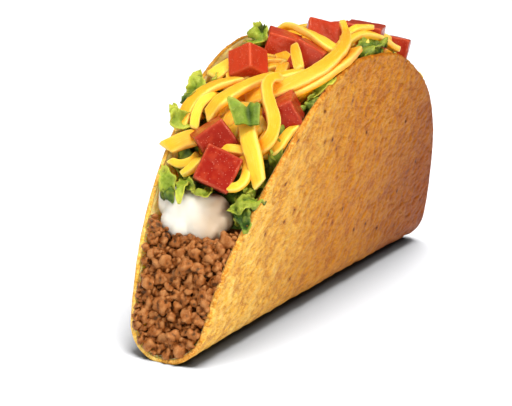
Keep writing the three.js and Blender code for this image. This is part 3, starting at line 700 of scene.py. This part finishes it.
# A path is a list of places on the arch: theta, across, height. A strand has one width at either end.
STRANDS = [
    dict(width=(4, 4.6), tone=0.15, path=[
        (45.2, 13.8, 1.8), (46.3, 12, 2), (48.1, 9.7, 1.6), (50, 7.6, 0.6), (52, 7.6, -1.5)]),
    dict(width=(3.2, 3.8), tone=0.2, path=[
        (50, 12.5, 1.8), (53.8, 12.8, 2.6), (57.3, 12.2, 3), (60.3, 10.2, 3.4), (62.6, 7.9, 3.2),
        (65.2, 5.4, 2.4)]),
    dict(width=(2.3, 1.8), path=[
        (50.7, 9.2, 1.8), (53.6, 10, 2.8), (56.6, 9.9, 3.2), (58.8, 8.6, 2.6), (60.6, 8.2, 0.8)]),
    dict(width=(4.4, 2.4), path=[
        (53.7, 7.3, 2.4), (56.5, 5.8, 3.8), (59.2, 3.6, 4.4), (61.6, 1.1, 4.8), (63.6, -1.7, 5.2),
        (65.8, -5.8, 5.2), (69, -9.3, 4.6)]),
    dict(width=(1.8, 4.4), tone=0.1, path=[
        (92, -5.8, 7.2), (90.5, -7.8, 5.4), (86, -10.5, 5.3), (80.5, -13.1, 5.4), (74.8, -13.7, 5.2),
        (69.6, -12.6, 5), (66.1, -9.9, 4.6), (63.1, -6.5, 4.2), (61.3, -2.8, 3.4), (60.3, 1, 2)]),
    dict(width=(3.8, 3.8), tone=0, path=[
        (85.6, -13.3, 2.6), (77.9, -14.8, 3), (72.6, -14.1, 3), (67.7, -12.3, 2.8), (64.8, -9.5, 2.2),
        (63.3, -5.5, 1.2)]),
    dict(width=(1.6, 4), path=[
        (88.5, 9.4, 2.6), (88, 6.6, 4.7), (86.8, 3.4, 5.2), (84.8, 0.3, 5.4), (81.5, -5.1, 5.8),
        (79.4, -9.5, 5.4), (78.8, -12.7, 4.4)]),
    dict(width=(3.2, 2.8), path=[
        (88, -7.4, 0), (90.8, -8.2, 2.8), (94, -9.4, 4.3), (97, -11.3, 4.2), (100, -12.8, 3.5),
        (103.6, -13.6, 2.3), (106, -15, 1.8)]),
    dict(width=(1.9, 1.7), thickness=1.8, path=[
        (92, -7.8, 4.6), (94, -8.6, 5.6), (96.5, -9.5, 5.9), (99, -10.7, 6.2)]),
    dict(width=(2.4, 3.2), thickness=2, tone=0.1, path=[
        (64.1, -6.4, 6.4), (62.7, -5.3, 7.4), (60.8, -5.1, 7.8), (58.9, -6, 7.6), (56.6, -7.9, 7),
        (54.4, -10, 6.4), (52.5, -11.2, 5.6), (50.3, -11.2, 4.6), (48.9, -9.5, 3), (48.5, -6.7, 0.6)]),
    dict(width=(4.2, 3.8), path=[
        (58, 0, -2), (55.6, -1.6, 1.5), (51.7, -4.7, 4.4), (47.9, -7.6, 5.6), (45.4, -9.9, 5.4),
        (43.1, -11.5, 4.4), (41.2, -12.7, 2.6)]),
    dict(width=(1.8, 2.8), path=[
        (47, -0.1, 2.8), (46.9, -2.8, 3.4), (47.1, -5.4, 3), (47.6, -7.6, 1.6)]),
    dict(width=(2.2, 2), thickness=2, path=[
        (38.8, -6, 4.4), (39.1, -8.4, 4.8), (40.4, -9.4, 4.4), (42.2, -9.2, 3.8), (44.5, -8.1, 3.2),
        (47, -5.7, 2), (49.5, -4, -2)]),
    dict(width=(2, 2), thickness=1.8, path=[
        (43, 11.5, 1.4), (42.6, 8.6, 1.6), (43.7, 6.4, 1.4), (46.4, 6.8, -1)]),
    dict(width=(2, 2.2), thickness=2, path=[
        (40.2, 6.9, 2.4), (41.5, 5.2, 2.6), (43.6, 4.3, 2.2), (45.6, 4.8, -1)]),
    dict(width=(3, 2), path=[
        (49.6, -6, -2.4), (50.6, -11.4, 0), (53.2, -12.6, 0.8), (55.1, -13.1, 0.8),
        (56.8, -13.8, 0.4)]),
    dict(width=(2, 2.8), thickness=1.8, tone=-0.2, path=[
        (74, -4, 7.4), (71, -6.3, 6.8), (68.6, -8.4, 5.4)]),
    dict(width=(2, 2), thickness=1.8, tone=0, path=[(74, 3.5, 1.5), (75, 1, 1.6), (76, -1.5, 1.4)]),
    dict(width=(2.8, 2.8), tone=0, path=[(74, -1, 1.2), (70, -3, 3.2), (67, -3.6, 2)]),
    dict(width=(3.8, 3.4), path=[(66, 13.6, 0.8), (68, 12, 1.6), (72, 10, 1.4), (76, 9.6, -2)]),
]
STRAND_THICKNESS = 2.1
STRAND_STEP = 0.5
STRAND_SIDES = 16
STRAND_CORNERS = 0.28  # the power that squares a strand's section
STRAND_CROWN = 0.12
STRAND_GRAIN = 0.25  # the streaks change this much as fast along a strand as across it

BED_SHREDS = 60
FAR_STRANDS = 9
STRAND_PLACES = (-1, -0.4, 0.3, 1)  # where a drawn strand has its places, from end to end


def strand(heap, path, width, thickness=STRAND_THICKNESS, tone=0.5, seed=0):
    """A strand of grated cheese: a ribbon with crisp edges, a slight twist and ends cut askew."""
    points, share = smooth_line(path, STRAND_STEP)
    ahead, sideways, outward = rails(points)
    twist = (0.35 * math.sin(2.3 * seed) + 0.5 * (share - 0.5) * math.sin(1.7 * seed + 1))[:, None]
    sideways, outward = (
        sideways * np.cos(twist) + outward * np.sin(twist),
        outward * np.cos(twist) - sideways * np.sin(twist),
    )
    length = STRAND_STEP * len(points)
    from_end = np.minimum(share, 1 - share) * length
    taper = (0.84 + 0.16 * np.sin(np.pi * share)) * np.clip(0.8 + from_end, 0, 1)
    wobble = 1 + 0.1 * lumps(points, 3.2, seed + 0.4)
    angle = ring_angles(STRAND_SIDES, 0.5)
    side, up = squared(np.cos(angle), STRAND_CORNERS), squared(np.sin(angle), STRAND_CORNERS)
    crowned = up * (1 + STRAND_CROWN * (up > 0) * (1 - side**2))
    width = width[0] + (width[1] - width[0]) * share
    wide = 0.54 * width * taper * wobble
    thick = 0.4 * thickness * taper * wobble
    askew = 0.7 * math.sin(5 * seed + 2) * np.clip(1 - from_end / 1.5, 0, 1) * wide
    rings = points[:, None]
    for axis, reach, corners in ((sideways, wide, side), (outward, thick, crowned), (ahead, askew, side)):
        rings = rings + axis[:, None] * reach[:, None, None] * corners[None, :, None]

    places = rings.reshape(-1, 3)
    side, up = np.tile(side, len(points)), np.tile(up, len(points))
    dents = 0.09 * lumps(places, 1.2, seed) * up
    # corner and cut mark the upper edges and the cut ends, which are painted paler as painted highlights
    corner = np.abs(side) ** 6 * (up > 0)
    cut = np.clip(1 - from_end / 0.8, 0, 1).repeat(STRAND_SIDES)
    along = (share * length * STRAND_GRAIN).repeat(STRAND_SIDES) + 7 * seed
    heap.add(
        places + dents[:, None] * outward.repeat(STRAND_SIDES, 0),
        tube_faces(len(points), STRAND_SIDES),
        tone=tone,
        rise=up,
        rim=np.maximum(corner, cut),
        grain=np.stack([along, side * width.repeat(STRAND_SIDES), up], -1),
    )


def clamp(value, limit):
    return min(max(value, -limit), limit)


def bed_shred(draw, number):
    """Places along a thin shred in the bed under the strands."""
    theta, across = draw.uniform(50, 138), draw.uniform(-9.5, 9.5)
    lean, reach = draw.uniform(-1.4, 1.4), draw.uniform(5, 10)
    return [
        (
            theta + t * reach * math.cos(lean),
            clamp(across + t * reach * 0.9 * math.sin(lean) + math.sin(4 * t + number), 12),
            draw.uniform(-1.6, 0.4) + 1.6 * (1 - t * t),
        )
        for t in STRAND_PLACES
    ]


def far_strand(draw):
    """Places along a strand on the slope behind the top."""
    theta, across, lean = draw.uniform(102, 140), draw.uniform(-9, 9), draw.uniform(-1, 1)
    reach = draw.uniform(7, 12)
    return [
        (
            theta + t * reach * math.cos(lean),
            clamp(across + t * reach * math.sin(lean) + 1.4 * math.sin(4 * t + theta), 13),
            1.6 + 3 * (1 - t * t) + 0.8 * lean,
        )
        for t in STRAND_PLACES
    ]


def bed(heap, start, end, margin, bottom, top, seed=0, **values):
    """A lumpy closed layer between the walls, from one place on the arch to another."""
    stations, sides = 90, 40
    angle = ring_angles(sides)
    side, up = squared(np.cos(angle), 0.5), squared(np.sin(angle), 0.6)
    height = (top + bottom) / 2 + (top - bottom) / 2 * up
    thetas = np.linspace(start, end, stations)
    points = np.concatenate([arch(theta, (wall_at(theta) - margin) * side, height) for theta in thetas])
    swell = 0.7 * lumps(points, 3, seed + 8) + 0.4 * lumps(points, 1.4, seed + 9)
    heap.add(points + outwards(points) * swell[:, None], tube_faces(stations, sides), **values)


def cheese():
    draw = np.random.default_rng(4)
    heap = Heap()
    for k, form in enumerate(STRANDS):
        drawn = {"tone": draw.uniform(0.3, 0.85)}  # for a strand without a tone of its own
        strand(heap, **(drawn | form), seed=k)
    for k in range(BED_SHREDS):
        path = bed_shred(draw, k)
        strand(heap, path, draw.uniform(2.2, 3.4, 2), 2, tone=draw.uniform(0, 0.5), seed=40 + k)
    for k in range(FAR_STRANDS):
        path = far_strand(draw)
        strand(heap, path, draw.uniform(2.2, 3.8, 2), tone=draw.uniform(0.4, 1), seed=120 + k)
    values = dict(tone=0.15, rise=0, rim=0, grain=(0, 0, 0))
    bed(heap, start=47, end=139, margin=5, bottom=-5, top=-0.8, **values)
    heap.piece("cheese_shreds", cheese_material(), "cheese")


# ---------- beef

# The first two layers fit round each other, and the one painted dark as painted shade lies behind them.
CRUMB_LAYERS = [  # height of their middles, sizes from and to, tries, painted shade, detail at either end
    (0, (2.5, 3.4), 240, 0, (3, 2)),
    (-0.2, (1.3, 2.5), 9000, 0, (2, 1)),
    (-1.8, (2, 3), 2000, 0.5, (1, 1)),
]
CRUMB_ARC = (5, 40)  # from and to a length along the rim's arc
CRUMB_CROWDING = 0.36  # the share of two crumbs' sizes that their middles keep apart
CRUMB_SINK = 0.4  # how far crumbs may press into the shell's inner face
CREAM_EDGE = 36.4  # length along the arc where the crumbs give way to the cream
CREAM_SIDE = 6  # they climb higher beside it, past this distance from the middle


def wall_distance(y, z):
    """How far a place between the walls is from the shell's inner face."""
    hub = FOLD_RADIUS - REST_CUT
    if z < hub:
        return FOLD_RADIUS - SHELL_THICKNESS - math.hypot(y, hub - z)
    return (inner_half_width(z) - abs(y)) * math.cos(WALL_LEAN)


def crumb(heap, shape, place, size, dark, draw):
    """A lump of fried beef, longer one way, with knobs and the creases between them."""
    points, faces = shape
    seed = draw.uniform(0, 90)
    body = points * draw.uniform(0.75, 1.35, 3)
    knobs = lumps(body, 0.85, seed)
    swell = 0.6 * knobs + 0.3 * lumps(body, 0.42, seed + 3)
    body = body + points * swell[:, None]
    spin = Matrix.Rotation(draw.uniform(0, 2 * math.pi), 3, Vector(draw.normal(size=3)))
    turned = (body @ np.array(spin).T) * size / 2 + place
    # crease feeds the knobs' painted highlights and painted shade; depth carries a layer's painted shade
    heap.add(turned, faces, tone=draw.uniform(0, 1), depth=dark, crease=0.35 - 0.9 * knobs)


def crumbs(heap, draw, end, height, sizes, tries, dark, shape, placed):
    """One layer of crumbs at an end of the fold, clear of those in placed, which they join."""
    for _ in range(tries):
        size = draw.uniform(*sizes)
        arc = draw.uniform(*CRUMB_ARC)
        theta = abs(end - math.degrees(arc / (TORTILLA_RADIUS - MEAT_RECESS)))
        z = float(arch(theta, 0, height - MEAT_RECESS)[2])
        half = inner_half_width(z) + CRUMB_SINK
        across = draw.uniform(-half, half)
        room = wall_distance(across, z) + CRUMB_SINK
        size = min(size, 2 * room + 1.2)
        if arc > CREAM_EDGE - size / 2 + 0.6 * max(abs(across) - CREAM_SIDE, 0) or room < 0.3:
            continue
        if any(math.hypot(a - arc, c - across) < CRUMB_CROWDING * (s + size) for a, c, s in placed):
            continue
        placed.append((arc, across, size))
        clump = 1.2 * noise.noise(Vector((arc, across, end)) / 3.2)
        heaped = 1.3 * (max(across, 0) / half) ** 2
        place = arch(theta, across + fold_drift(z), height + clump + heaped - 0.3)
        crumb(heap, shape, place, size, dark, draw)


def beef_core(heap):
    """The beef behind the crumbs, from end to end."""
    stations, levels = 60, 26
    reach = 66  # either way from the middle
    rings = []
    for x in np.linspace(-reach, reach, stations):
        top = min(MEAT_TOP, ARCH_HUB + WALL_RISE * math.sqrt(max((reach + 0.5) ** 2 - x * x, 0)))
        heights = np.linspace(1.8, max(top, 3), levels)
        left = [(x, fold_drift(z) + max(inner_half_width(z) - 0.5, 0.4), z) for z in heights]
        right = [(x, 2 * fold_drift(z) - y, z) for x, y, z in left[::-1]]
        rings.append(left + right)
    # painted shade: the core is painted nearly black
    heap.add(rings, tube_faces(stations, 2 * levels), tone=0.2, depth=0.8, crease=0.5)


def beef():
    draw = np.random.default_rng(7)
    heap = Heap()
    for number, end in enumerate((0, 180)):
        placed = {dark: [] for *_, dark, _ in CRUMB_LAYERS}
        for height, sizes, tries, dark, levels in CRUMB_LAYERS:
            shape = ball(levels[number])
            crumbs(heap, draw, end, height, sizes, tries, dark, shape, placed[dark])
    beef_core(heap)
    heap.piece("beef_crumbles", beef_material(), "beef")


# ---------- lettuce

LEAVES = [
    dict(width=4.4, tone=0.8, path=[
        (62.3, 13.2, -5), (60.6, 13.5, -1), (60, 13.6, 2), (61, 13.9, 4), (63, 14.5, 5)]),
    dict(width=2.8, tone=0.1, path=[
        (60.3, 13.4, -3), (59.4, 13.8, 1), (57.8, 14.3, 3), (55.7, 15.2, 3)]),
    dict(width=4.6, tone=0.75, path=[
        (52.9, 12.4, -5), (52, 12.8, -1), (51.4, 13, 3), (51.9, 13.9, 5), (53, 15.5, 5)]),
    dict(width=5.6, ruffle=1.4, tone=0.7, path=[
        (82, 8, -3), (80, 9, 1), (78, 8.6, 4), (79, 8.4, 6), (81.7, 9.4, 7.2)]),
    dict(width=4.2, tone=0.8, path=[
        (36.5, 8.2, -4), (36.8, 8.7, 0.5), (38.6, 10.2, 2), (41.5, 12.2, 2)]),
    dict(width=2.4, tone=0.05, path=[
        (38.5, 9.6, -1), (37.2, 9.4, 1.5), (35.6, 7.4, 3), (34.3, 6.2, 3)]),
    dict(width=2.8, tone=0.95, path=[
        (41.5, 6.6, -2), (40, 6.2, 1), (38, 5.1, 3.2), (35.8, 4.3, 4.6), (34, 3.8, 4.6)]),
    dict(width=2.6, tone=0.6, path=[(41, 6.4, -2), (39.8, 5.8, 1), (38.3, 3.4, 3), (37.3, 1.7, 3)]),
    dict(width=2, tone=0.75, path=[
        (40.6, -0.8, -1), (39, -1, 2), (37.1, -1.6, 3.8), (36.8, 0.6, 3.8), (37, 2, 3)]),
    dict(width=3.2, tone=0.4, path=[
        (44.5, -9.8, -4), (42.4, -10, 0), (40.4, -10.2, 1.5), (38.9, -10, 1.5)]),
    dict(width=3, ruffle=1.6, tone=0.3, path=[
        (40, -13, -1), (38.5, -12.6, 0.8), (37.4, -11.2, 2), (36, -9.3, 2), (35.3, -7.4, 1.6)]),
    dict(width=4.2, tone=0, path=[
        (40, -8.4, -3), (37.4, -8.9, 0), (35, -10.8, 1.2), (33.4, -12, 0.6), (32.1, -12.6, 0)]),
    dict(width=3, ruffle=1.2, tone=0.2, path=[
        (62.6, -12.6, -3), (62.8, -14, 0), (65, -14.4, 0.6), (66.6, -15, 0.8)]),
    dict(width=4.2, ruffle=0.6, tone=1, path=[
        (67, -11, -3), (67.5, -13, 0.6), (69.4, -14.2, 2), (72, -15.6, 2.2)]),
    dict(width=4.6, ruffle=1.3, tone=0.2, path=[
        (88, -13, -3), (90, -13.6, 1), (95, -13.4, 2.4), (101, -13.6, 2.4)]),
    dict(width=3.4, tone=0.3, path=[
        (48.4, -12.4, -4), (49, -12.2, -1), (50.6, -11.6, 0.6), (52.4, -10.8, 1)]),
    dict(width=3, ruffle=0.8, tone=0, path=[
        (44, 8.6, -4), (44.6, 8.8, -1), (46, 9.6, 0.8), (47, 12, 1)]),
]
LEAF_THICKNESS = 0.4
LEAF_STEP = 0.35
LEAF_COLUMNS = 19

WALL_SHREDS = 46
WALL_SHRED_ARC = (34, 118)  # where those along the walls start, in degrees, and how far they go

# Its cut end, then its lobes, as places on the arch.
TOP_LEAF_CORNERS = [(50, -3.2, 8), (51, -8.8, 7.8), (55, 2, 8.8), (55.6, -6.6, 8.5)]
TOP_LEAF_OUTLINE = [  # from one side (-1) to the other (1), how far towards its lobes it reaches
    (-1, 0.8), (-0.93, 0.97), (-0.8, 1.03), (-0.45, 1), (0.13, 0.74), (0.38, 0.95), (0.62, 0.88),
    (0.85, 0.96), (1, 0.84),
]
TOP_LEAF_GRID = (41, 61)  # rows towards the lobes, columns from side to side
TOP_LEAF_THETA = 53


def add_sheet(heap, middle, half, faces, **values):
    """The two sides of a thin sheet, half to either side of its middle, with the same values."""
    both = {name: np.tile(np.broadcast_to(value, len(middle)), 2) for name, value in values.items()}
    heap.add(np.concatenate([middle + half, middle - half]), faces, **both)


def leaf(heap, path, width, ruffle=1.0, facing=None, tone=0.5, seed=0):
    """A torn shred of lettuce: a thin crumpled blade, with an uneven outline and frilled edges."""
    points, share = smooth_line(path, LEAF_STEP)
    _, sideways, outward = rails(points, facing)
    rows, columns = len(points), LEAF_COLUMNS
    v = np.linspace(-1, 1, columns)
    length = LEAF_STEP * rows
    profile = np.sqrt(np.clip(np.minimum((share + 0.3) / 0.7, (1 - share) / 0.3), 0.04, 1))
    sides = []
    for side in (0, 7):
        line = np.stack([share * length, 0 * share + side, 0 * share + 3 * seed], -1)
        sides.append(1 + 0.5 * lumps(line, 2.6) + 0.3 * lumps(line, 0.9))
    reach = width / 2 * profile[:, None] * np.where(v[None, :] > 0, sides[0][:, None], sides[1][:, None])
    flat = (points[:, None] + sideways[:, None] * (v[None, :] * reach)[..., None]).reshape(-1, 3)
    edge = np.tile(np.abs(v), rows)
    tip = np.clip(share * 1.25 - 0.25, 0, 1).repeat(columns)
    frill = np.maximum(edge, tip)
    swell = 0.9 * lumps(flat, 3.4, seed + 0.6)
    fold = 1.5 * frill**1.4 * lumps(flat, 1.7, seed + 0.3) + 0.5 * frill * lumps(flat, 0.8, seed + 0.9)
    wave = ruffle * (swell + fold) + 0.1 * width * edge**2
    middle = flat + outward.repeat(columns, 0) * wave[:, None]
    half = grid_normals(middle, rows, columns) * (LEAF_THICKNESS / 2 * (1 - 0.6 * edge**4))[:, None]
    add_sheet(heap, middle, half, sheet_faces(rows, columns), edge=frill, rise=wave, tone=tone)


def wall_shred(heap, draw, number):
    """A shred of lettuce that stands along one wall or the other."""
    start, reach = WALL_SHRED_ARC
    theta = start + reach * (number + 0.5) / WALL_SHREDS + draw.uniform(-1, 1)
    side = 1 if number % 2 else -1
    wall = wall_at(theta) - 1.2
    lean = draw.uniform(-3, 3)
    rise = draw.uniform(0.2, 1.8)
    path = [
        (theta - lean, side * (wall - 2.2), -6),
        (theta, side * (wall - 1.2), -2),
        (theta + lean, side * (wall - 0.6), rise * 0.4),
        (theta + 1.6 * lean, side * (wall - draw.uniform(0, 1.6)), rise),
    ]
    facing = np.array([draw.uniform(-0.4, 0.4), -side, draw.uniform(-0.3, 0.3)])
    width, ruffle = draw.uniform(3, 5.4), draw.uniform(0.7, 1.3)
    leaf(heap, path, width, ruffle, facing, tone=draw.uniform(0, 0.8), seed=60 + number)


def lettuce():
    draw = np.random.default_rng(21)
    heap = Heap()
    for k, form in enumerate(LEAVES):
        leaf(heap, **form, seed=k)
    for k in range(WALL_SHREDS):
        wall_shred(heap, draw, k)
    values = dict(tone=0.1, edge=0, rise=0)
    bed(heap, start=30, end=150, margin=1.2, bottom=-9, top=-4.6, seed=3, **values)
    heap.piece("lettuce_shreds", lettuce_material(), "lettuce")


def top_leaf():
    """The torn leaf on top: a flat piece with a deep notch between its two lobes."""
    rows, columns = TOP_LEAF_GRID
    corners = [arch(*place) for place in TOP_LEAF_CORNERS]
    v, w = np.meshgrid(np.linspace(-1, 1, columns), np.linspace(0, 1, rows))
    height = (w * np.interp(v, *zip(*TOP_LEAF_OUTLINE)))[..., None]
    share = ((v + 1) / 2)[..., None]
    lower = corners[0] * (1 - share) + corners[1] * share
    upper = corners[2] * (1 - share) + corners[3] * share
    flat = (lower * (1 - height) + upper * height).reshape(-1, 3)
    outward = arch_axes(TOP_LEAF_THETA)[2]
    edge = np.maximum(np.abs(v), w).ravel() ** 2
    v = v.ravel()
    wave = 0.45 * lumps(flat, 2.6, 5) - 0.64 * np.exp(-((v - 0.2) / 0.25) ** 2)
    half = outward * (0.25 * (1 - 0.6 * edge**6))[:, None]
    tone = np.where(v > 0.25, 0.3, 0.6)
    heap = Heap()
    faces = sheet_faces(rows, columns, flip=True)
    add_sheet(heap, flat + outward * wave[:, None], half, faces, edge=edge, rise=wave, tone=tone)
    heap.piece("lettuce_sprig", lettuce_material(), "lettuce_top")


# ---------- tomatoes and cream


def remeshed(source, voxel, smooth_steps):
    """A copy of a mesh in small even faces, with its edges a little rounded."""
    made = new_object("work", source.copy())
    remesh = made.modifiers.new("remesh", "REMESH")
    remesh.mode, remesh.voxel_size = "VOXEL", voxel * MM
    smooth = made.modifiers.new("smooth", "SMOOTH")
    smooth.iterations, smooth.factor = smooth_steps, 0.5
    depsgraph = bpy.context.evaluated_depsgraph_get()
    mesh = bpy.data.meshes.new_from_object(made.evaluated_get(depsgraph))
    bpy.data.objects.remove(made)
    return mesh


def vectors_of(mesh, field):
    """The places (co) or the normals of a mesh's points, as rows."""
    flat = np.empty(len(mesh.vertices) * 3)
    mesh.vertices.foreach_get(field, flat)
    return flat.reshape(-1, 3)


def set_points(mesh, points, **values):
    mesh.vertices.foreach_set("co", (points * MM).ravel())
    for key, value in values.items():
        mesh.attributes.new(key, "FLOAT", "POINT").data.foreach_set("value", value)


EDGE_BEND = 1.2  # how much a cube's edges bend, in radians for each mm


def edges_of(mesh, points, normals):
    """How much a cube's surface bends at each point, from 0 on its faces to 1 along its edges."""
    ends = np.empty(len(mesh.edges) * 2, int)
    mesh.edges.foreach_get("vertices", ends)
    a, b = ends.reshape(-1, 2).T
    apart = points[b] - points[a]
    turn = np.einsum("ij,ij->i", normals[b] - normals[a], apart)
    bend = turn / np.maximum(np.einsum("ij,ij->i", apart, apart), 1e-9)
    total, count = np.zeros(len(points)), np.zeros(len(points))
    for end in (a, b):
        np.add.at(total, end, bend)
        np.add.at(count, end, 1)
    return np.clip(total / np.maximum(count, 1) / EDGE_BEND, 0, 1)


TOMATO_VOXEL = 0.22
TOMATO_TONES = [0, 0.1, 0.2, 0.8, 0.8, 0.4, 0.6, 0.4, 0.3, 0.7, 0.4, 0.6, 0.3]
# painted light: faces turned this way are painted lighter, faces turned away darker
TOMATO_LIT_SIDE = np.array([0, 0.6, 0.8])
SKIN_EDGE = 0.72  # skin covers a face that turns towards the skin's side by this much


def tomato(index, material, draw):
    mesh = remeshed(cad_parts[f"tomato_{index}"].data, TOMATO_VOXEL, 2)
    points, normals = vectors_of(mesh, "co") / MM, vectors_of(mesh, "normal")
    skin = np.clip((normals @ unit(draw.normal(size=3)) - SKIN_EDGE) / 0.12, 0, 1)
    # rim feeds the painted highlight along the edges
    rim = edges_of(mesh, points, normals)
    swell = 0.16 * lumps(points, 3.2, index) + 0.07 * lumps(points, 1.1, index + 0.5) * (1 - skin)
    # painted light and painted shade by the faces' turn to TOMATO_LIT_SIDE
    tone = np.clip(TOMATO_TONES[index - 1] + 0.3 * normals @ TOMATO_LIT_SIDE, 0, 1)
    set_points(mesh, points + normals * (swell + 0.1)[:, None], skin=skin, rim=rim, tone=tone)
    finish_piece(f"tomato_dice_{index}", mesh, material, f"tomato_{index}")


CREAM_PLACE = (34.6, 3, -2.8)
CREAM_LOBES = [  # across, along, outward and radius of each, about CREAM_PLACE
    (5.2, 1.4, 0.3, 3.3), (8.8, 2.9, 0.8, 2), (1.8, 0.2, 0.9, 4.2), (3.4, -3.1, 0.7, 2.9),
    (0.9, -3.9, 0.9, 2.8), (-5.6, -3.4, 0.7, 2.7), (-3.2, -2.6, 0.9, 3.4), (-6.9, -0.2, 0.2, 2.9),
    (-4.6, 1.2, 0.3, 3.9), (-1, 0.8, 1.3, 3.8), (-5.2, -4.9, 0.6, 1.5),
]
CREAM_VOXEL = 0.35
CREAM_SMOOTHING = 40
CREAM_SWELL = 0.55  # puts back what the smoothing takes away
CREAM_WALL_GAP = 0.3
CREAM_SHADE = (1.5, 5)  # where the side away from the light starts to darken, and how far it takes


def cream():
    """A spoonful of sour cream: soft lobes run together."""
    heap = Heap()
    points, faces = ball(4)
    axes = arch_axes(CREAM_PLACE[0])
    for *offset, radius in CREAM_LOBES:
        heap.add(points * radius + (arch(*CREAM_PLACE) + np.array(offset) @ axes), faces)
    mesh = remeshed(heap.mesh("work"), CREAM_VOXEL, CREAM_SMOOTHING)
    points, normals = vectors_of(mesh, "co") / MM, vectors_of(mesh, "normal")
    points += normals * (CREAM_SWELL + 0.25 * lumps(points, 5, 2))[:, None]
    between = np.array([inner_half_width(z) - CREAM_WALL_GAP for z in points[:, 2]])
    points[:, 1] = np.clip(points[:, 1], -between, between)
    start, reach = CREAM_SHADE
    set_points(mesh, points, shade=np.clip((start - points[:, 1]) / reach, 0, 1))
    finish_piece("sour_cream_dollop", mesh, cream_material(), "sour_cream")


# ---------- the taco

aim_camera()
light_scene(floor())
shell()
beef()
cheese()
lettuce()
top_leaf()
cream()
dice_material = tomato_material()
dice_draw = np.random.default_rng(13)
for dice in range(1, len(TOMATO_TONES) + 1):
    tomato(dice, dice_material, dice_draw)
